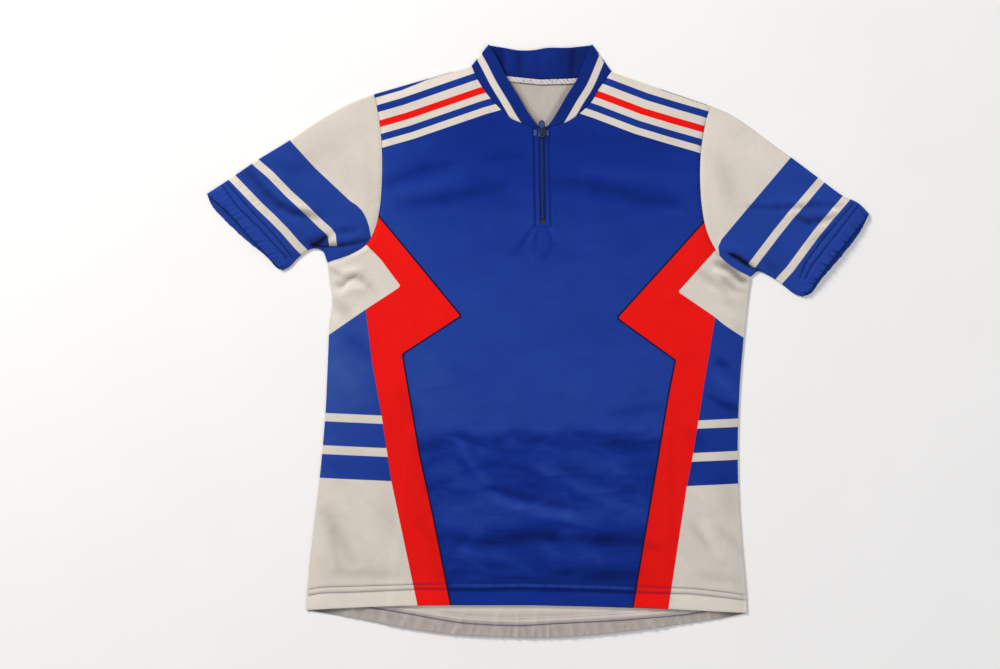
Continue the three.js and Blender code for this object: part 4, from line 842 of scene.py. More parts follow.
# Back panel. The same knit as the front, longer, with a dropped hem gathered by its elastic. It lies on
# its printed face, so its white wrong side shows in the neck and below the front's hem.
NECK_BACK_RIGHT = [(-82.5, 343.5), (-62.5, 337), (-40, 332.5), (0.9, 328)]
NECK_BACK_LEFT = [(91, 337), (67.5, 333), (46, 329.5), (8.1, 328)]
HEM_BACK_RIGHT = [(-289.5, -335.5), (-250, -341.5), (-197.5, -351.5), (-157.5, -358.5), (-97.5, -366),
                  (-12.6, -369.5)]
HEM_BACK_LEFT = [(261, -339), (234, -344.5), (189, -351.5), (109, -362), (37.5, -368.5), (-5.4, -369.5)]
# Gathers along the back hem: place along x, half width, rise, how far up they reach, and slant.
# The elastic draws the cloth in, so no two are alike.
HEM_GATHERS = [
    (-240, 3, 0.6, 16, 0.3), (-229, 2.5, 0.9, 20, -0.2), (-218, 3, 0.6, 22, 0.4), (-209, 2, 1.0, 18, 0.1),
    (-198, 3, 0.7, 26, 0.5), (-189, 2.5, 1.0, 20, -0.3), (-181, 2, 0.6, 16, 0.3), (-172, 3, 1.1, 24, 0.5),
    (-161, 2, 0.7, 18, 0.0), (-153, 3, 0.9, 26, 0.4), (-143, 2.5, 0.6, 16, -0.2), (-135, 2, 1.1, 22, 0.5),
    (-124, 3, 0.8, 24, 0.2), (-115, 2, 0.6, 16, 0.4), (-106, 3, 1.1, 26, 0.5), (-95, 2.5, 0.7, 18, -0.1),
    (-86, 2, 1.0, 22, 0.3), (-76, 3, 0.7, 24, 0.4), (-66, 2, 1.0, 18, 0.0), (-57, 3, 0.8, 26, 0.3),
    (-46, 2.5, 1.1, 22, -0.2), (-37, 2, 0.6, 16, 0.2), (-27, 3, 1.0, 26, 0.1), (-16, 2, 0.7, 18, -0.3),
    (-7, 3, 1.1, 24, 0.2), (4, 2.5, 0.7, 18, -0.2), (13, 2, 1.0, 22, 0.0), (24, 3, 0.8, 24, -0.3),
    (33, 2, 0.6, 16, 0.2), (43, 3, 1.1, 26, -0.2), (54, 2.5, 0.7, 18, 0.1), (63, 2, 1.0, 20, -0.4),
    (74, 3, 0.8, 24, -0.2), (84, 2, 0.6, 16, 0.1), (93, 3, 1.1, 26, -0.4), (104, 2.5, 0.7, 20, -0.1),
    (114, 2, 1.0, 18, -0.3), (124, 3, 0.8, 24, -0.4), (135, 2, 0.6, 16, 0.2), (145, 3, 1.2, 26, -0.5),
    (157, 2.5, 0.8, 20, -0.3), (168, 2, 1.0, 24, -0.6), (179, 2.5, 1.1, 22, -0.8), (190, 2.5, 1.0, 22, -0.5),
    (202, 3, 0.7, 18, -0.3), (214, 2, 0.8, 16, -0.2), (226, 3, 0.5, 14, -0.3),
]
BACK_HEM_THICK_ROW = [(-240, -325), (-211.8, -331.6), (-166.3, -339.1), (-98.1, -350.9), (-22.5, -354.6),
                      (19.5, -352.3), (97.5, -348.4), (165, -342.8), (193.8, -339.6), (225, -333)]
BACK_HEM_FINE_ROW = [(-235, -322), (-201.8, -331.6), (-138, -337.8), (-78.8, -344.9), (-47.5, -346.3),
                     (30.6, -344.1), (108.8, -339.6), (153.8, -336.2), (215, -328)]
# Top edges of the collar's front bands, which shade the inside of the back close beside them.
COLLAR_TOP_RIGHT = [(-60.3, 370.2), (-51.5, 354.5), (-40, 332), (-24, 305.5), (-13.5, 287.5), (-1.5, 270.5)]
COLLAR_TOP_LEFT = [(66.3, 370.2), (59, 352), (48.5, 327.6), (36.6, 308.4), (26, 290), (13.8, 269.8)]

back_xy = whole_panel((SIDE_RIGHT, ARMHOLE_RIGHT, SHOULDER_RIGHT, NECK_BACK_RIGHT, HEM_BACK_RIGHT),
                      (SIDE_LEFT, ARMHOLE_LEFT, SHOULDER_LEFT, NECK_BACK_LEFT, HEM_BACK_LEFT))
# Sewing of the back hem, as for the front's. The hem itself is puffed out by its gathers, from mm height
# HEM_FROM down, and its rows are drawn in from ROW_FROM down.
HEM_ROW_RELIEF = (0.5, 1.6, 0.6, 3.5, 2.5)
GATHER_GAIN, HEM_FROM, ROW_FROM = 1.5, -312, -318
back_x, back_y = back_xy[..., 0], back_xy[..., 1]
from_hem = back_y - back_y[:1]
gathered = np.zeros(back_x.shape)
for at_x, half, rise, reach, slant in HEM_GATHERS:
    gathered += GATHER_GAIN * rise * bell(back_x - at_x - slant * from_hem, half) * bell(from_hem, reach)
sewn = edge_line_distance(back_xy, BACK_HEM_THICK_ROW)
back_z = BACK_LIFT + pocket_step(back_xy) + gathered * smooth((HEM_FROM - back_y) / 16)
back_z += seam_relief(sewn, *HEM_ROW_RELIEF) * smooth((ROW_FROM - back_y) / 8)
back_z = np.maximum(back_z, BACK_LIFT)
back = thin_shell("back_cloth", np.dstack([back_xy, back_z]), CLOTH)

# Painted shade or light on the wrong side: shade below the thick row, at it, in the groove above it, light on
# the pale bead of the fine row, and shade in the soft hollow above that and where the hem runs in under the
# sides.
HEM_SHADE = dict(band=0.27, row=0.3, groove=0.2, bead=0.13, hollow=0.9, corner=0.5)
band_top = read_off(BACK_HEM_THICK_ROW, back_x)
below_row = smooth((band_top - back_y + 1) / 3)
groove = bell(back_y - band_top - 2.9, 1.3)
above_fine = back_y - read_off(BACK_HEM_FINE_ROW, back_x)
fine_bead = bell(above_fine, 1.3) - HEM_SHADE["hollow"] * bell(above_fine - 3.4, 2.2)
hem_shade = 1 - HEM_SHADE["band"] * below_row - HEM_SHADE["row"] * bell(sewn, 1.5)
hem_shade += HEM_SHADE["bead"] * fine_bead - HEM_SHADE["groove"] * groove
at_corner = smooth((abs(back_x + 12) - 225) / 35) * smooth((-300 - back_y) / 10)
hem_shade *= 1 - HEM_SHADE["corner"] * at_corner
# In the neck the wrong side gets painted shade all over, and more in a strip beside each front band of the
# collar.
NECK_SHADE = dict(over_y=200, all=0.16, strip=0.16, strip_width=7.5)
neck_strips = np.minimum(edge_line_distance(back_xy, COLLAR_TOP_RIGHT),
                         edge_line_distance(back_xy, COLLAR_TOP_LEFT))
in_strip = smooth(NECK_SHADE["strip_width"] - neck_strips)
neck_shade = 1 - smooth((back_y - NECK_SHADE["over_y"]) / 40) * (
    NECK_SHADE["all"] + NECK_SHADE["strip"] * in_strip)
# Just below the front's hem the middle gets painted light, as if lit through the front cloth, and the ends
# get painted shade.
UNDER_HEM = dict(middle=0.4, ends=0.12)
under_hem = read_off(FRONT_HEM, back_x) - back_y
in_middle = smooth((back_x + 190) / 60) * smooth((170 - back_x) / 60)
at_hem = bell(np.maximum(under_hem, 0), 6) * smooth((under_hem + 6) / 4)
hem_light = 1 + at_hem * (UNDER_HEM["middle"] * in_middle - UNDER_HEM["ends"] * (1 - in_middle))
# Painted light on the gathers' ridges and painted shade between them, below the thick row.
gather_shade = 1 + (0.16 * gathered - 0.06) * below_row

print_fields(back, back_xy)
store_field(back, "painted_sheen_and_shade", read_off(SIDE_SHEEN_AND_SHADE, back_y))
store_field(back, "painted_shading", hem_shade * neck_shade * hem_light * gather_shade)
set_in_place(back, "back_panel", white_back, printed_knit)

back_surface = surface_of(back)
back_stitching = sewn_piece("back_hem_stitching", [
    sewn_row([BACK_HEM_THICK_ROW], back_surface, pitch=1.7, length=1.8, width=1.1, sway=1.5),
    sewn_row([BACK_HEM_FINE_ROW], back_surface, pitch=2.2, length=1.3, width=0.55),
    sewn_row([BACK_HEM_THICK_ROW, BACK_HEM_FINE_ROW], back_surface, below=True),
], blue_thread)

# Rear pocket. One panel of the printed knit, topstitched to the outside of the back, so it lies
# underneath and only its top edge and thickness press through.
POCKET_HEM_GAP = 8.0
share = np.linspace(0, 1, 100)
back_hem = np.concatenate([curve_line(HEM_BACK_RIGHT), curve_line(HEM_BACK_LEFT)[::-1]])
low_x = POCKET["low_right"] + share * (POCKET["left"] - POCKET["low_right"])
low_y = np.interp(low_x, back_hem[:, 0], back_hem[:, 1]) + POCKET_HEM_GAP
top_x = POCKET["right"] + share * (POCKET["left"] - POCKET["right"])
pocket_xy = np.array([np.stack([low_x * (1 - v) + top_x * v, low_y * (1 - v) + POCKET["top"] * v], axis=-1)
                      for v in np.linspace(0, 1, 76)])
pocket_z = np.full(pocket_xy.shape[:-1], BACK_LIFT)
pocket = thin_shell("pocket_cloth", np.dstack([pocket_xy, pocket_z]), CLOTH)
print_fields(pocket, pocket_xy)
store_field(pocket, "painted_sheen_and_shade", read_off(SIDE_SHEEN_AND_SHADE, pocket_xy[..., 1]))
store_field(pocket, "painted_shading", np.ones(pocket_z.shape))
set_in_place(pocket, "rear_pocket", white_back, printed_knit)

# Sleeves. Set-in short sleeves of the printed knit, one folded piece each: a flattened tube folded at
# its upper edge and sewn along its lower one, with a lightly gathered cuff.
SLEEVE_AIR = 2.9
# Each sleeve: its outline, the edges of its print, the tuck and the pit at the underarm, which get painted
# shade, its folds (ends, half width and rise), the two rows of its cuff, how much painted shade its mouth
# gets, how much painted shade its cuff gathers get, its tone beside the body's, and its cut.
SLEEVES = {
    "right": dict(
        armhole=ARMHOLE_RIGHT, outward=-1,
        top=[(-205, 309), (-240, 295.5), (-277.5, 273.5), (-311, 251), (-352.5, 225.5), (-387.5, 201.5),
             (-413.5, 184.5)],
        bottom=[(-263, 99), (-269.5, 114), (-283, 116.5), (-299, 106), (-311, 93.8), (-319, 89.4)],
        cuff_upper=[(-319, 89.4), (-326, 95), (-336.5, 106.5), (-357, 128.5), (-381, 156), (-397, 171),
                    (-413.5, 184.5)],
        cuff_lower=[(-319, 89.4), (-327, 93), (-338.5, 106), (-366, 128.5), (-393.5, 154.5), (-408, 171),
                    (-413.5, 184.5)],
        cap=[(-385, 335), (-310.6, 252.2), (-278.8, 217.2), (-234.1, 175.2), (-226.5, 170.4),
             (-219.8, 163.8), (-214.6, 154.8), (-211, 144), (-208.8, 132.2), (-206, 60)],
        first=[(-450, 335), (-351.5, 223.3), (-334.4, 208.7), (-311, 184.6), (-294.4, 169.6),
               (-270.5, 146.2), (-262, 138.9), (-257.5, 133), (-256, 120), (-256, 60)],
        second=[(-512, 335), (-379.7, 202.5), (-348.4, 170), (-332, 154.6), (-316.3, 138.6),
                (-301.6, 121.5), (-292.3, 112), (-243, 60)],
        tuck=[(-283, 121), (-268, 118.8), (-250.6, 119.6), (-240.3, 120.4), (-226.6, 123), (-212, 128.2)],
        pit=[(-281, 121), (-273, 124), (-265, 131)], pit_half=4.0,
        folds=[(-240, 262, -330, 190, 16, -0.7), (-215, 150, -262, 141, 10, 1.2),
               (-268, 119, -243, 120.5, 3, -3.2), (-243, 120.5, -216, 127, 3, -3.0),
               (-262, 127, -236, 128, 5, 1.8), (-236, 128, -218, 133, 5, 1.5),
               (-288, 122, -270, 128, 6, -2.4), (-253, 137, -228, 139.5, 5, -2.2),
               (-360, 213, -348, 196, 5, -1.6), (-348, 196, -336, 184, 5, -1.8),
               (-336, 184, -322, 171, 5.5, -2.4), (-322, 171, -305, 161, 5, -3.2),
               (-305, 161, -288, 157, 4.5, -3.4), (-288, 157, -272, 155, 5, -2.0),
               (-334, 192, -318, 179, 6, 2.0), (-318, 179, -296, 168, 5, 2.4),
               (-296, 168, -276, 164, 5, 1.4),
               (-318, 158, -300, 146, 7, 1.6), (-300, 146, -282, 134, 7, 1.2),
               (-372, 214, -358, 206, 6, -1.4), (-344, 214, -320, 206, 8, 1.2),
               (-330, 220, -300, 214, 8, -0.9), (-236, 158, -222, 146, 6, -1.2),
               (-290, 200, -262, 186, 10, 0.8), (-240, 176, -226, 160, 8, 0.9)],
        cuff_rows=[[(-396, 197.5), (-394, 195.3), (-376.3, 170.2), (-345, 139.1), (-313.8, 104.4)],
                   [(-390, 199.5), (-388.1, 197.7), (-357, 163.1), (-325.9, 129.7), (-306.8, 105.6)]],
        mouth_shade=0.55, gathering=0.6, tone=0.94, cloth=(0.262, 0.49), cloth_area=0.077),
    "left": dict(
        armhole=ARMHOLE_LEFT, outward=1,
        top=[(216, 294.5), (237.5, 285.5), (261, 270.5), (290, 249), (321, 226.5), (351, 204),
             (381, 182), (400, 173), (413.5, 159.5)],
        bottom=[(265.5, 81), (275, 88), (287.5, 83.5), (305, 72), (320, 60.5), (330.5, 56.4)],
        cuff_upper=[(330.5, 56.4), (338, 62.5), (348, 77), (369, 105), (395, 136.5), (413.5, 159.5)],
        cuff_lower=[(330.5, 56.4), (341, 60.5), (353, 77), (378, 106), (402, 137), (413.5, 159.5)],
        cap=[(403, 335), (314.6, 228.8), (256.6, 160.6), (239.1, 139.7), (229.1, 127.8), (225, 118.4),
             (226.3, 110.9), (229, 40)],
        first=[(467, 335), (350, 197.5), (332.2, 176.4), (313.8, 155.8), (296.6, 134.2), (280, 112.3),
               (268.4, 97), (227, 40)],
        second=[(515, 335), (384, 178.2), (365.5, 157), (347.5, 135.4), (330.7, 112.8), (314, 90),
                (304.6, 79.7), (271, 40)],
        tuck=[(238, 110.4), (248.8, 105.3), (259, 98.1), (268, 93.2), (277, 89)],
        pit=[(243, 108.5), (250, 104.6), (258, 99), (262, 96.4)], pit_half=3.0,
        folds=[(262, 168, 299, 166.5, 3, -2.2), (299, 166.5, 330, 168, 3, -3.0),
               (330, 168, 352, 171, 3, -2.4), (352, 171, 380, 169, 3.5, -1.8), (288, 174, 372, 178, 7, 1.5),
               (322, 157, 337, 149.5, 4.5, -2.6), (337, 149.5, 352, 150.5, 4, -3.0),
               (352, 150.5, 376, 158, 4, -2.2), (300, 160, 340, 160, 6, 1.4), (350, 160, 380, 164, 5, 1.2),
               (238, 110, 252, 104, 3, -2.0), (252, 104, 272, 91, 4, -2.4),
               (232, 122, 262, 112, 6, 1.6), (246, 97, 262, 88, 4, 1.6), (240, 238, 330, 190, 16, 0.8),
               (228, 230, 246, 170, 12, -0.9), (250, 132, 292, 122, 8, 0.9), (340, 120, 362, 136, 6, -1.2),
               (300, 205, 340, 196, 9, -1.0), (284, 100, 300, 88, 6, -1.4)],
        cuff_rows=[[(400, 170.5), (397.5, 167.2), (370, 131.4), (341.3, 94.1), (333.5, 78.8)],
                   [(393.5, 173), (390.9, 169.7), (360, 133.4), (335, 99.7), (326.8, 79.7)]],
        mouth_shade=0.3, gathering=1.5, tone=1.0, cloth=(0.262, 0.49), cloth_area=0.079),
}
# Places of the cuff's gathers, as shares of the way from seam to fold.
CUFF_GATHERS = [0.05, 0.1, 0.16, 0.21, 0.27, 0.31, 0.37, 0.43, 0.47, 0.53, 0.58, 0.65, 0.7, 0.76, 0.81,
                0.86, 0.92, 0.96]
RUFFLE = dict(along=0.09, across=0.014, out=0.9, up=1.3, under=0.25)
CUFF_MOUTH, CUFF_ROW_DIP = 2.4, 1.1
SLEEVE_SEAM_RELIEF = (0.55, 2.2, 0.35, 6, 3.5)
STRIPE_HALF = 4.9
CUFF_TURN = 22.0
ROLL_ANGLES = np.radians([70, 45, 20, -5, -20, -45, -70])


def sleeve_layers(cut):
    """The two layers of a sleeve, with rows from armhole to cuff and columns from seam to fold, and the
    ruffle of its cuff."""
    along = np.unique(np.concatenate([np.linspace(0, 0.7, 38), [0.004, 0.01], np.linspace(0.7, 1, 48)]))
    across = np.unique(np.concatenate([np.linspace(0, 1, 76), np.linspace(0.02, 0.2, 22), [0.006, 0.992]]))
    arm = at_share(cut["armhole"], across)
    bottom, top = at_share(cut["bottom"], along), at_share(cut["top"], along)
    front_share = (rows[UNDERARM_ROW:] - ROW_MARKS["underarm"]) / (ROW_MARKS["top"] - ROW_MARKS["underarm"])
    edge_column = 0 if cut["outward"] < 0 else -1
    seam_z = np.interp(across, front_share, front_z[UNDERARM_ROW:, edge_column])
    arch = np.sin(math.pi * across) ** 0.55
    near_cuff = bell(1 - along, RUFFLE["along"])
    ruffle = near_cuff[:, None] * sum(bell(across - at, RUFFLE["across"]) * (0.6 + 0.4 * math.sin(40 * at))
                                      for at in CUFF_GATHERS)[None]
    layers = []
    for edge in ("cuff_upper", "cuff_lower"):
        cuff = at_share(cut[edge], across)
        cuff[0], cuff[-1] = bottom[-1], top[-1]
        xy = fill_between(arm, cuff, bottom, top, across, along)
        outward = xy[-1] - xy[-2]
        outward /= np.linalg.norm(outward, axis=-1, keepdims=True)
        xy = xy + outward[None] * (ruffle * np.sin(math.pi * across))[..., None] * RUFFLE["out"]
        if edge == "cuff_upper":
            open_mouth = CUFF_MOUTH * smooth((along - 0.6) / 0.4)[:, None]
            free = arch[None] * (SLEEVE_AIR + open_mouth + fold_rise(cut["folds"], xy))
            blend = smooth(along / 0.14)[:, None]
            groove = seam_relief(np.linalg.norm(xy - xy[:1], axis=-1), *SLEEVE_SEAM_RELIEF)
            air = (seam_z - FRONT_LIFT)[None] * (1 - blend) + free * blend
            sewn = sum(bell(edge_line_distance(xy, row), 1.9) for row in cut["cuff_rows"])
            air += (groove - CUFF_ROW_DIP * sewn) * arch[None]
            z = FRONT_LIFT + np.maximum(air, 0) + RUFFLE["up"] * ruffle
        else:
            z = BACK_LIFT + RUFFLE["under"] * ruffle
        layers.append(np.dstack([xy, z]))
    return (*layers, ruffle)


def sleeve_ring(upper, lower, outward):
    """Both layers joined into a tube by half-round turns at the fold and the seam."""
    def turn(column, start, end, side):
        run = np.gradient(start[:, column, :2], axis=0)
        run /= np.linalg.norm(run, axis=-1, keepdims=True)
        out = np.stack([run[:, 1], -run[:, 0]], axis=-1) * side
        radius = (start[:, column, 2] - end[:, column, 2]) / 2
        middle = (start[:, column, 2] + end[:, column, 2]) / 2
        points = []
        for angle in ROLL_ANGLES:
            bulge = np.abs(radius)[:, None] * math.cos(angle) * 1.2 * out
            z = middle + radius * math.sin(angle)
            points.append(np.hstack([start[:, column, :2] + bulge, z[:, None]]))
        return np.stack(points, axis=1)
    seam_side = turn(0, upper, lower, -outward)
    fold_side = turn(-1, lower, upper, outward)
    return np.concatenate([upper[:, ::-1], seam_side, lower, fold_side], axis=1)


def round_tube(upper_field, lower_field):
    """A field of each layer carried round the tube, with their mean on its two turns."""
    turns, middle = len(ROLL_ANGLES), (upper_field + lower_field) / 2
    seam, fold = np.repeat(middle[:, :1], turns, axis=1), np.repeat(middle[:, -1:], turns, axis=1)
    return np.concatenate([upper_field[:, ::-1], seam, lower_field, fold], axis=1)


# The same printed knit as the body, in one blue, without the painted sheen and shade of the body's.
sleeve_knit, tree = new_material("printed_polyester_knit_sleeve")
colour = ink_over(tree, to_linear(INK["sleeve_blue"]), "white", field_mask(tree, "cap_part", 0.0))
first_stripe = field_mask(tree, "first_stripe", -STRIPE_HALF, STRIPE_HALF)
above_tuck = field_mask(tree, "above_tuck", 0.0)
shown = add_node(tree, "ShaderNodeMath", {0: first_stripe, 1: above_tuck}, operation="MULTIPLY").outputs[0]
colour = ink_over(tree, colour, "white", shown)
colour = ink_over(tree, colour, "white", field_mask(tree, "second_stripe", -STRIPE_HALF, STRIPE_HALF))
knit_finish(tree, colour)

# Inside, the turned cuff shows its printed face, and beyond it the bare wrong side.
sleeve_lining, tree = new_material("unprinted_knit_with_turned_cuff")
colour = ink_over(tree, to_linear(INK["sleeve_blue"]), "white", field_mask(tree, "from_cuff", CUFF_TURN))
knit_finish(tree, colour)
cuff_thread = thread_material("spun_polyester_thread_navy", "0d1a55")

# Painted shade in the folds, rows, tuck and pit of a sleeve and in the mouth and gathers of its cuff, and
# painted light on its cuff.
SLEEVE_SHADE = dict(fold=1.4, row=0.42, tuck=0.7, tuck_half=1.25, pit=0.88, most_pit_and_tuck_shade=0.9, mouth_half=2.2,
                    cuff_light=0.1, darkest=0.25)
for name, cut in SLEEVES.items():
    upper, lower, ruffle = sleeve_layers(cut)
    tube, gathers = sleeve_ring(upper, lower, cut["outward"]), round_tube(ruffle, ruffle)
    on_top = round_tube(np.ones(ruffle.shape), np.zeros(ruffle.shape))
    if cut["outward"] < 0:
        tube, gathers, on_top = tube[:, ::-1], gathers[:, ::-1], on_top[:, ::-1]
    sleeve = thin_shell(f"sleeve_cloth_{name}", tube, CLOTH, ring=True)
    plan = tube[..., :2]
    for field, line in (("cap_part", "cap"), ("first_stripe", "first"), ("second_stripe", "second")):
        store_field(sleeve, field, band_field(plan, cut[line], -cut["outward"]))
    # The tuck at the underarm swallows the end of the first stripe.
    store_field(sleeve, "above_tuck", plan[..., 1] - read_off(cut["tuck"], plan[..., 0]))
    cuff_away = [edge_line_distance(plan, cut[edge]) for edge in ("cuff_upper", "cuff_lower")]
    store_field(sleeve, "from_cuff", np.minimum(*cuff_away))
    # Painted shade in the folds, along the cuff's rows, in its mouth and between its gathers, and painted
    # light on the gathered cuff.
    deep = SLEEVE_SHADE["fold"] * fold_rise(cut["folds"], plan) * on_top
    sewn = sum(bell(edge_line_distance(plan, row), 1.3) for row in cut["cuff_rows"])
    mouth = cut["mouth_shade"] * bell(cuff_away[0], SLEEVE_SHADE["mouth_half"]) * (1 - on_top)
    pucker_shade = cut["gathering"] * gathers * (0.2 + 0.4 * bell(cuff_away[0], 5)) * on_top
    painted_shading = painted_crease_shade(deep) - SLEEVE_SHADE["row"] * sewn - mouth - pucker_shade
    painted_shading += SLEEVE_SHADE["cuff_light"] * on_top * (gathers > 0.01)
    # Painted shade, almost black, in the tuck and the pit at the underarm.
    tuck_and_pit_shade = SLEEVE_SHADE["tuck"] * bell(edge_line_distance(plan, cut["tuck"]), SLEEVE_SHADE["tuck_half"])
    tuck_and_pit_shade += SLEEVE_SHADE["pit"] * bell(edge_line_distance(plan, cut["pit"]), cut["pit_half"])
    unshaded = 1 - np.minimum(tuck_and_pit_shade, SLEEVE_SHADE["most_pit_and_tuck_shade"]) * on_top
    store_field(sleeve, "painted_shading", np.maximum(painted_shading * cut["tone"], SLEEVE_SHADE["darkest"]) * unshaded)
    set_in_place(sleeve, f"sleeve_{name}", sleeve_knit, sleeve_lining)
    sleeve_surface = surface_of(sleeve)
    sewn_piece(f"cuff_stitching_{name}", [
        sewn_row(cut["cuff_rows"], sleeve_surface, width=0.9),
        sewn_row(cut["cuff_rows"], sleeve_surface, width=0.6, below=True),
    ], cuff_thread)

# Collar. A stand collar of doubled dark-blue rib-faced knit, sewn on as one strip from zip to zip, lying
# folded at both shoulder points, with a white stripe knitted along its outer face.
COLLAR_CLOTH = 1.1
COLLAR_TOP_BACK = [(-60.3, 370.2), (-43.5, 367.3), (-24, 364), (-7.5, 364), (11.5, 367), (38, 367.3),
                   (66.3, 370.2)]
COLLAR_RISE, COLLAR_PUFF, COLLAR_LIFT = 1.6, 1.2, 0.15
COLLAR_STRIPE = (14.1, 22.6)
# Soft folds of the collar's back as it lies: ends, half width and rise.
COLLAR_FOLDS = [(-53, 345, -55, 366, 5, -1.4), (-45, 338, -47, 364, 5, -2.2), (-34, 337, -37, 362, 5, 0.9),
                (-22, 336, -24, 360, 4, -1.5), (-8, 334, -8, 362, 7, 0.9), (12, 332, 14, 362, 9, 1.2),
                (29, 334, 31, 364, 4, -0.9), (41, 334, 44, 366, 5, -2.7), (52, 338, 56, 366, 5, -1.2)]
width_share = np.unique(np.concatenate([np.linspace(0, 1, 13), [0.02, 0.98]]))
band_share = np.linspace(0, 1, 52)


def collar_band(neck, top_edge, column_from, column_to):
    """A front band: its seam edge at the front's own height, and its top edge a little higher."""
    seam, edge = at_share(neck, band_share), at_share(top_edge, band_share)
    neck_columns = front_xy[-1, column_from:column_to]
    distance = np.concatenate([[0], np.cumsum(np.linalg.norm(np.diff(neck_columns, axis=0), axis=1))])
    heights = front_z[-1, column_from:column_to]
    if neck is NECK_LEFT:
        distance, heights = distance[-1] - distance[::-1], heights[::-1]
    seam_z = np.interp(band_share, distance / distance[-1], heights)
    rise = COLLAR_RISE * smooth((1 - band_share) * 4)
    return seam, edge, seam_z, seam_z + rise


def ruled(seam, edge, seam_z, edge_z):
    """A strip of straight lines from the collar's seam to its edge."""
    low, high = np.column_stack([seam, seam_z]), np.column_stack([edge, edge_z])
    return low[:, None] * (1 - width_share[:, None]) + high[:, None] * width_share[:, None]


def fold_over(start, end, side):
    """Rows that carry the strip round a fold from the front layer to the back one."""
    run = start[-1, :2] - start[0, :2]
    out = np.array((-run[1], run[0])) / np.linalg.norm(run) * -side
    radius = (start[:, 2] - end[:, 2]) / 2
    turned = []
    for angle in np.radians([65, 40, 15, -15, -40, -65]):
        xy = (start[:, :2] + end[:, :2]) / 2 + np.abs(radius)[:, None] * math.cos(angle) * out
        z = (start[:, 2] + end[:, 2]) / 2 + radius * math.sin(angle)
        turned.append(np.column_stack([xy, z]))
    return np.array(turned)


neck_column = int(np.argmin(abs(half_columns - COLUMN_MARKS["neck"])))
last_column = front_xy.shape[1] - 1
right_band = ruled(*collar_band(NECK_RIGHT, COLLAR_TOP_RIGHT, neck_column, SLOT_COLUMN + 1))
left_band = ruled(*collar_band(NECK_LEFT, COLLAR_TOP_LEFT, SLOT_COLUMN + 1,
                               last_column - neck_column + 1))
back_seam = np.vstack([at_share(NECK_BACK_RIGHT, np.linspace(0, 1, 26)),
                       at_share(NECK_BACK_LEFT, np.linspace(0, 1, 26))[::-1]])
reach = (back_seam[:, 0] - back_seam[0, 0]) / (back_seam[-1, 0] - back_seam[0, 0])
top_from, top_to = COLLAR_TOP_BACK[0][0], COLLAR_TOP_BACK[-1][0]
back_edge = at_value(COLLAR_TOP_BACK, 0, top_from + reach * (top_to - top_from))
rest = BACK_LIFT + COLLAR_LIFT + COLLAR_PUFF * smooth(np.minimum(reach, 1 - reach) * 7)
back_band = ruled(back_seam, back_edge, rest, rest)
back_band[..., 2] += fold_rise(COLLAR_FOLDS, back_band[..., :2]) * np.sin(math.pi * width_share) * 0.9
back_band[..., 2] = np.maximum(back_band[..., 2], BACK_LIFT + 0.1)
seam_drop = bell(np.linalg.norm(back_band - back_band[:, :1], axis=-1), 4)
back_band[..., 2] = back_band[..., 2] * (1 - seam_drop) + (BACK_LIFT + COLLAR_LIFT) * seam_drop
collar_mid = np.concatenate([right_band[::-1], fold_over(right_band[0], back_band[0], -1), back_band,
                             fold_over(back_band[-1], left_band[0], 1), left_band])
collar = thin_shell("collar_cloth", collar_mid, COLLAR_CLOTH)
from_top = np.linalg.norm(collar_mid - collar_mid[:, -1:], axis=-1)
bands = len(right_band)
from_top[:bands] = edge_line_distance(collar_mid[:bands, :, :2], curve_line(COLLAR_TOP_RIGHT))
from_top[-bands:] = edge_line_distance(collar_mid[-bands:, :, :2], curve_line(COLLAR_TOP_LEFT))
store_field(collar, "from_top_edge", from_top)
from_seam = np.linalg.norm(collar_mid - collar_mid[:, :1], axis=-1)
# Painted shade in the folds of the collar's back and in a thin dark line along its seam.
on_back = collar_mid[..., 2] < BACK_LIFT + 2.2
collar_fold_depth = fold_rise(COLLAR_FOLDS, collar_mid[..., :2]) * on_back * 2.4
store_field(collar, "painted_shading", painted_crease_shade(collar_fold_depth) - 0.35 * bell(from_seam, 1.1))
INK["collar_blue"] = "0d2878"

# Rib-faced double knit: a denser, darker blue than the body, a touch smoother, with its stripe knitted in.
collar_knit, tree = new_material("striped_rib_knit_collar")
colour = ink_over(tree, to_linear(INK["collar_blue"]), "white",
                  field_mask(tree, "from_top_edge", *COLLAR_STRIPE))
knit_finish(tree, colour, roughness=0.85)
collar_lining, tree = new_material("plain_rib_knit_lining")
knit_finish(tree, to_linear(INK["collar_blue"]), roughness=0.85)
set_in_place(collar, "collar", collar_knit, collar_lining)

# Neck tape. A narrow white twill tape sewn over the back neck seam, with its plain woven specks and a
# painted brown shadow along its lower edge.
TAPE = dict(from_x=-66.0, to_x=74.0, height=7.0, clear=0.6, cloth=0.6)
tape_x = np.linspace(TAPE["from_x"], TAPE["to_x"], 90)
seam_line = np.vstack([curve_line(NECK_BACK_RIGHT), curve_line(NECK_BACK_LEFT)[::-1]])
seam_y = np.interp(tape_x, seam_line[:, 0], seam_line[:, 1]) - TAPE["clear"]
tape_xy = np.array([np.column_stack([tape_x, seam_y - TAPE["height"] * (1 - v)])
                    for v in np.linspace(0, 1, 6)])
tape_z = BACK_LIFT + CLOTH / 2 + TAPE["cloth"] / 2 + 0.1 + 0.12 * np.sin(tape_xy[..., 0] / 4.1)
neck_tape = thin_shell("neck_tape_cloth", np.dstack([tape_xy, tape_z]), TAPE["cloth"])
tape_rise = np.repeat(np.linspace(0, TAPE["height"], 6)[:, None], len(tape_x), axis=1)
store_field(neck_tape, "tape_rise", tape_rise)
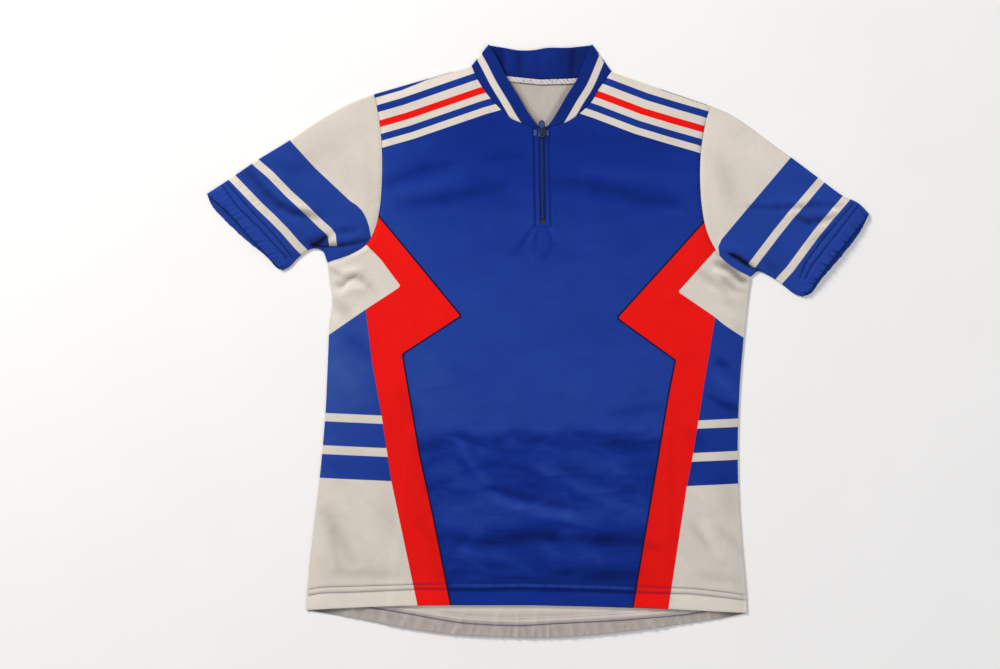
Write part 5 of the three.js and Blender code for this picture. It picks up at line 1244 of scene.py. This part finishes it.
# Cotton twill: a pale slanting rib, drawn coarse at about 6 mm along the tape, with small blue flecks
# about 3 mm apart. Its lower edge gets a painted brown shadow.
twill, tree = new_material("cotton_twill_tape")
position = add_node(tree, "ShaderNodeTexCoord").outputs["Object"]
slant = add_node(tree, "ShaderNodeTexWave", {"Vector": position, "Scale": 110.0, "Distortion": 0.4},
                 bands_direction="DIAGONAL").outputs["Fac"]
cells = add_node(tree, "ShaderNodeTexVoronoi", {"Vector": position, "Scale": 300.0, "Randomness": 1.0})
speck = add_node(tree, "ShaderNodeMapRange", {"Value": cells.outputs["Distance"], "From Min": 0.22,
                                              "From Max": 0.34, "To Min": 0.75, "To Max": 0.0}).outputs[0]
pale = add_node(tree, "ShaderNodeMix", {"Factor": slant, "A": to_linear("bdb6b4"),
                                        "B": to_linear("d6d0cc")}, data_type="RGBA").outputs["Result"]
specked = add_node(tree, "ShaderNodeMix", {"Factor": speck, "A": pale, "B": to_linear("4a5896")},
                   data_type="RGBA").outputs["Result"]
# The brown band along the lower edge is a painted shadow.
edge = field_mask(tree, "tape_rise", 0.0, 1.1, 0.3)
colour = add_node(tree, "ShaderNodeMix", {"Factor": edge, "A": specked, "B": to_linear("7c6660")},
                  data_type="RGBA").outputs["Result"]
finish_material(tree, {"Base Color": colour, "Roughness": 0.9,
                       "Normal": add_node(tree, "ShaderNodeBump", {"Strength": 0.3, "Distance": 0.0002,
                                                                   "Height": slant}).outputs[0]})
set_in_place(neck_tape, "neck_tape", twill, twill)

# Zip. A short nylon coil zip: two woven tapes under the edges of the slit, each carrying its half of the
# coil, topstitched through the front in a long narrow box.
COIL = dict(pitch=1.3, reach=2.7, overlap=0.45, thick=0.95, start=152.8, end=262.3)
TAPE_REACH, TAPE_CLOTH, TAPE_LOW, TAPE_HIGH = 14.0, 0.5, 139.0, 267.2


def under_front(y):
    """Lowest underside of the front within the tapes' width, at a height y."""
    lows = []
    for away in (-13, -9, -5, 5, 9, 13):
        at = Vector((zip_x(y) + away, min(y, 262.0), 60)) * MM
        hit, _, _, _ = front_surface.ray_cast(at, Vector((0, 0, -1)))
        lows.append(hit.z / MM - CLOTH)
    return min(lows)


tape_y = np.linspace(TAPE_LOW, TAPE_HIGH, 60)
tape_top = np.array([under_front(y) for y in tape_y]) - 0.05
tape_top = np.convolve(np.pad(tape_top, 3, mode="edge"), np.ones(7) / 7, mode="valid") - 0.1
# Woven polyester: cross ribs, a little shinier than the knit, drawn at 2.2 mm, coarser than real ones.
woven, tree = new_material("woven_polyester_zip_tape")
position = add_node(tree, "ShaderNodeTexCoord").outputs["Object"]
ribs = add_node(tree, "ShaderNodeTexWave", {"Vector": position, "Scale": 140.0}, bands_direction="Y")
tone = add_node(tree, "ShaderNodeMapRange", {"Value": ribs.outputs["Fac"], "To Min": 0.8, "To Max": 1.1})
colour = add_node(tree, "ShaderNodeHueSaturation", {"Color": to_linear("12256a"),
                                                    "Value": tone.outputs["Result"]}).outputs["Color"]
bump = add_node(tree, "ShaderNodeBump", {"Strength": 0.4, "Distance": 0.0003,
                                         "Height": ribs.outputs["Fac"]})
finish_material(tree, {"Base Color": colour, "Roughness": 0.75, "Normal": bump.outputs[0]})
# Dyed nylon monofilament: smooth, with a dull plastic shine and slight wear every 2 or 3 mm.
nylon, tree = new_material("dyed_nylon_coil")
wear = add_node(tree, "ShaderNodeTexNoise", {"Scale": 400.0, "Detail": 2.0}).outputs["Fac"]
colour = add_node(tree, "ShaderNodeMix", {"Factor": wear, "A": to_linear("10276a"),
                                          "B": to_linear("1b3a8a")}, data_type="RGBA").outputs["Result"]
finish_material(tree, {"Base Color": colour, "Roughness": 0.6, "IOR": 1.53, "Specular IOR Level": 0.2})

for name, side in (("right", -1), ("left", 1)):
    across = np.array([0.35, 1.0, 2.4, 5.0, 8.0, 11.0, TAPE_REACH])
    xy = np.array([[(zip_x(y) + side * a, y) for a in across] for y in tape_y])
    z = np.repeat((tape_top - TAPE_CLOTH / 2)[:, None], len(across), axis=1)
    grid = np.dstack([xy, z])
    tape = thin_shell(f"zip_tape_cloth_{name}", grid if side > 0 else grid[:, ::-1], TAPE_CLOTH)
    set_in_place(tape, f"zip_tape_{name}", woven, woven)

# A turn of the coil, from its head out to the tape: distance from the centre line, swell and drop.
COIL_SIDES = 8
COIL_TURN = ((-COIL["overlap"], 0.75, 0.0), (0.0, 1.25, 0.0), (0.5, 1.0, 0.0), (1.8, 0.85, 0.05),
             (COIL["reach"], 0.85, 0.3), (COIL["reach"] + 0.3, 0.5, 0.6))
coil_parts = []
for side in (-1, 1):
    shift = 0.0 if side < 0 else COIL["pitch"] / 2
    faces = bar_faces(0, len(COIL_TURN), COIL_SIDES)
    faces = faces if side < 0 else [face[::-1] for face in faces]
    for y in np.arange(COIL["start"] + shift, COIL["end"], COIL["pitch"]):
        centre_z = np.interp(y, tape_y, tape_top) + COIL["thick"] * 0.75
        points = []
        for away, swell, drop in COIL_TURN:
            for angle in np.arange(COIL_SIDES) * 2 * math.pi / COIL_SIDES:
                points.append((zip_x(y) + side * away, y + math.cos(angle) * COIL["thick"] * 0.5 * swell,
                               centre_z - drop + math.sin(angle) * COIL["thick"] * 0.7 * swell))
        coil_parts.append((points, faces))
sewn_piece("zip_coil", coil_parts, nylon)

box_sides = [[(zip_x(y) + side * STITCH_AWAY, y) for y in (BOX_LOW, 165, 190, 215, 240, 264)]
             for side in (-1, 1)]
box_low = [(zip_x(BOX_LOW) + x, BOX_LOW) for x in (-9.4, -3, 3, 9.4)]
box_second = [(zip_x(BOX_LOW) + x, BOX_LOW + 2.4) for x in (-6.5, -2, 2, 8.6)]
zip_thread = thread_material("spun_polyester_thread_royal", "12246c")
sewn_piece("zip_stitching", [sewn_row([*box_sides, box_low, box_second], front_surface, width=0.7)],
           zip_thread)

# A worn pale tack of close stitches on each side of the slider, where the tape ends are caught down.
head_tacks = []
for x0, x1 in ((-6.2, -1.6), (9.2, 13.8)):
    tack_lines = [[(x0, y), ((x0 + x1) / 2, y), (x1, y)] for y in np.arange(257.8, 264.4, 0.75)]
    head_tacks.append(sewn_row(tack_lines, front_surface, pitch=1.25, length=1.1, width=0.62))
pale_thread = thread_material("spun_polyester_thread_faded", "6477aa")
sewn_piece("zip_head_tacks", head_tacks, pale_thread)

# Slider, pull tab and end stop. Slider and tab are die-cast zinc in worn dark-blue enamel, the tab hung
# on the slider's bridge, and the stop is a strip of brass crimped over the coil's end.
def finished_metal(name, node, material, body, width):
    """The solid's own shape with its edges broken, as casting and tumbling leave them."""
    piece = bpy.data.objects.new(name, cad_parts[node].data.copy())
    bpy.context.collection.objects.link(piece)
    weld = piece.modifiers.new("weld", "WELD")
    weld.merge_threshold = 0.00001
    bevel = piece.modifiers.new("broken_edges", "BEVEL")
    bevel.width, bevel.segments, bevel.limit_method = width, 3, "ANGLE"
    bevel.angle_limit = math.radians(35)
    piece.data.materials.clear()
    piece.data.materials.append(material)
    piece.data.polygons.foreach_set("use_smooth", np.zeros(len(piece.data.polygons), bool))
    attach(piece, body)
    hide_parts(node)


# Stoved enamel on zinc: a satin dark blue, rubbed through to grey metal on the edges in scuffs of 1 mm.
enamel, tree = new_material("worn_enamel_on_zinc")
position = add_node(tree, "ShaderNodeTexCoord").outputs["Object"]
scuffs = add_node(tree, "ShaderNodeTexNoise", {"Vector": position, "Scale": 900.0, "Detail": 4.0,
                                               "Roughness": 0.7}).outputs["Fac"]
edges = add_node(tree, "ShaderNodeNewGeometry").outputs["Pointiness"]
rubbed = add_node(tree, "ShaderNodeMath", {0: edges, 1: scuffs}, operation="MULTIPLY").outputs[0]
bare = add_node(tree, "ShaderNodeMapRange", {"Value": rubbed, "From Min": 0.3, "From Max": 0.4})
colour = add_node(tree, "ShaderNodeMix", {"Factor": bare.outputs["Result"], "A": to_linear("12264c"),
                                          "B": to_linear("56708c")}, data_type="RGBA").outputs["Result"]
finish_material(tree, {"Base Color": colour, "Metallic": 0.35, "Roughness": 0.42, "Coat Weight": 0.2})
# The tab's enamel is lighter and cloudy in the oval middle that a thumb polishes, and dark round its rim.
TAB_MIDDLE_M = (0.0045, 0.2716, 0.0082)
TAB_OVAL_M = (0.0032, 0.0042)
tab_enamel, tree = new_material("worn_enamel_on_zinc_tab")
position = add_node(tree, "ShaderNodeTexCoord").outputs["Object"]
from_middle = add_node(tree, "ShaderNodeVectorMath", {0: position, 1: TAB_MIDDLE_M}, operation="SUBTRACT")
oval = add_node(tree, "ShaderNodeVectorMath", {0: from_middle.outputs[0],
                                               1: (1 / TAB_OVAL_M[0], 1 / TAB_OVAL_M[1], 0.0)},
                operation="MULTIPLY").outputs[0]
away = add_node(tree, "ShaderNodeVectorMath", {0: oval}, operation="LENGTH").outputs["Value"]
rim = add_node(tree, "ShaderNodeMapRange", {"Value": away, "From Min": 0.85, "From Max": 1.05}).outputs[0]
scuffs = add_node(tree, "ShaderNodeTexNoise", {"Vector": position, "Scale": 1100.0, "Detail": 4.0}).outputs[0]
middle = add_node(tree, "ShaderNodeMix", {"Factor": scuffs, "A": to_linear("16387e"),
                                          "B": to_linear("3c62a0")}, data_type="RGBA").outputs["Result"]
colour = add_node(tree, "ShaderNodeMix", {"Factor": rim, "A": middle, "B": to_linear("14233f")},
                  data_type="RGBA").outputs["Result"]
finish_material(tree, {"Base Color": colour, "Metallic": 0.35, "Roughness": 0.4, "Coat Weight": 0.2})
# Brass, crimped and long worn: a brown tarnish with duller and brighter spots of about 1.5 mm.
brass, tree = new_material("crimped_brass")
tarnish = add_node(tree, "ShaderNodeTexNoise", {"Scale": 700.0, "Detail": 3.0}).outputs["Fac"]
colour = add_node(tree, "ShaderNodeMix", {"Factor": tarnish, "A": to_linear("3a3224"),
                                          "B": to_linear("6e5f44")}, data_type="RGBA").outputs["Result"]
finish_material(tree, {"Base Color": colour, "Metallic": 1.0, "Roughness": 0.38})

finished_metal("slider_casting", "zip_slider", enamel, "jersey", 0.00022)
finished_metal("pull_tab_casting", "zip_pull_tab", tab_enamel, "pull_tab", 0.00025)
finished_metal("end_stop", "zip_bottom_stop", brass, "jersey", 0.0002)

# Enamel web. The tab's window is filled with a thin web of blue enamel, poured level with the tab's
# middle. It hardens glossy and a little cloudy.
WEB = dict(x=4.5, y=267.9, half_x=1.72, half_y=2.62, thick=0.4, sides=24)
web_enamel, tree = new_material("blue_enamel_in_the_tab")
cloudy = add_node(tree, "ShaderNodeTexNoise", {"Scale": 800.0, "Detail": 3.0}).outputs["Fac"]
colour = add_node(tree, "ShaderNodeMix", {"Factor": cloudy, "A": to_linear("12307c"),
                                          "B": to_linear("2c52a4")}, data_type="RGBA").outputs["Result"]
finish_material(tree, {"Base Color": colour, "Roughness": 0.35, "Coat Weight": 0.3})
tab_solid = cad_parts["zip_pull_tab"]
tab_heights = [(tab_solid.matrix_world @ Vector(corner)).z / MM for corner in tab_solid.bound_box]
web_z = (min(tab_heights) + max(tab_heights)) / 2
angles = np.linspace(0, 2 * math.pi, WEB["sides"], endpoint=False)
web_rim = [(WEB["x"] + WEB["half_x"] * math.cos(a), WEB["y"] + WEB["half_y"] * math.sin(a)) for a in angles]
web_points = [(x * MM, y * MM, (web_z + side * WEB["thick"] / 2) * MM)
              for side in (-1, 1) for x, y in web_rim]
web_mesh = bpy.data.meshes.new("pull_tab_enamel")
web_mesh.from_pydata(web_points, [], bar_faces(0, 2, WEB["sides"]))
web_mesh.materials.append(web_enamel)
web = bpy.data.objects.new("pull_tab_enamel", web_mesh)
bpy.context.collection.objects.link(web)
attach(web, "pull_tab")
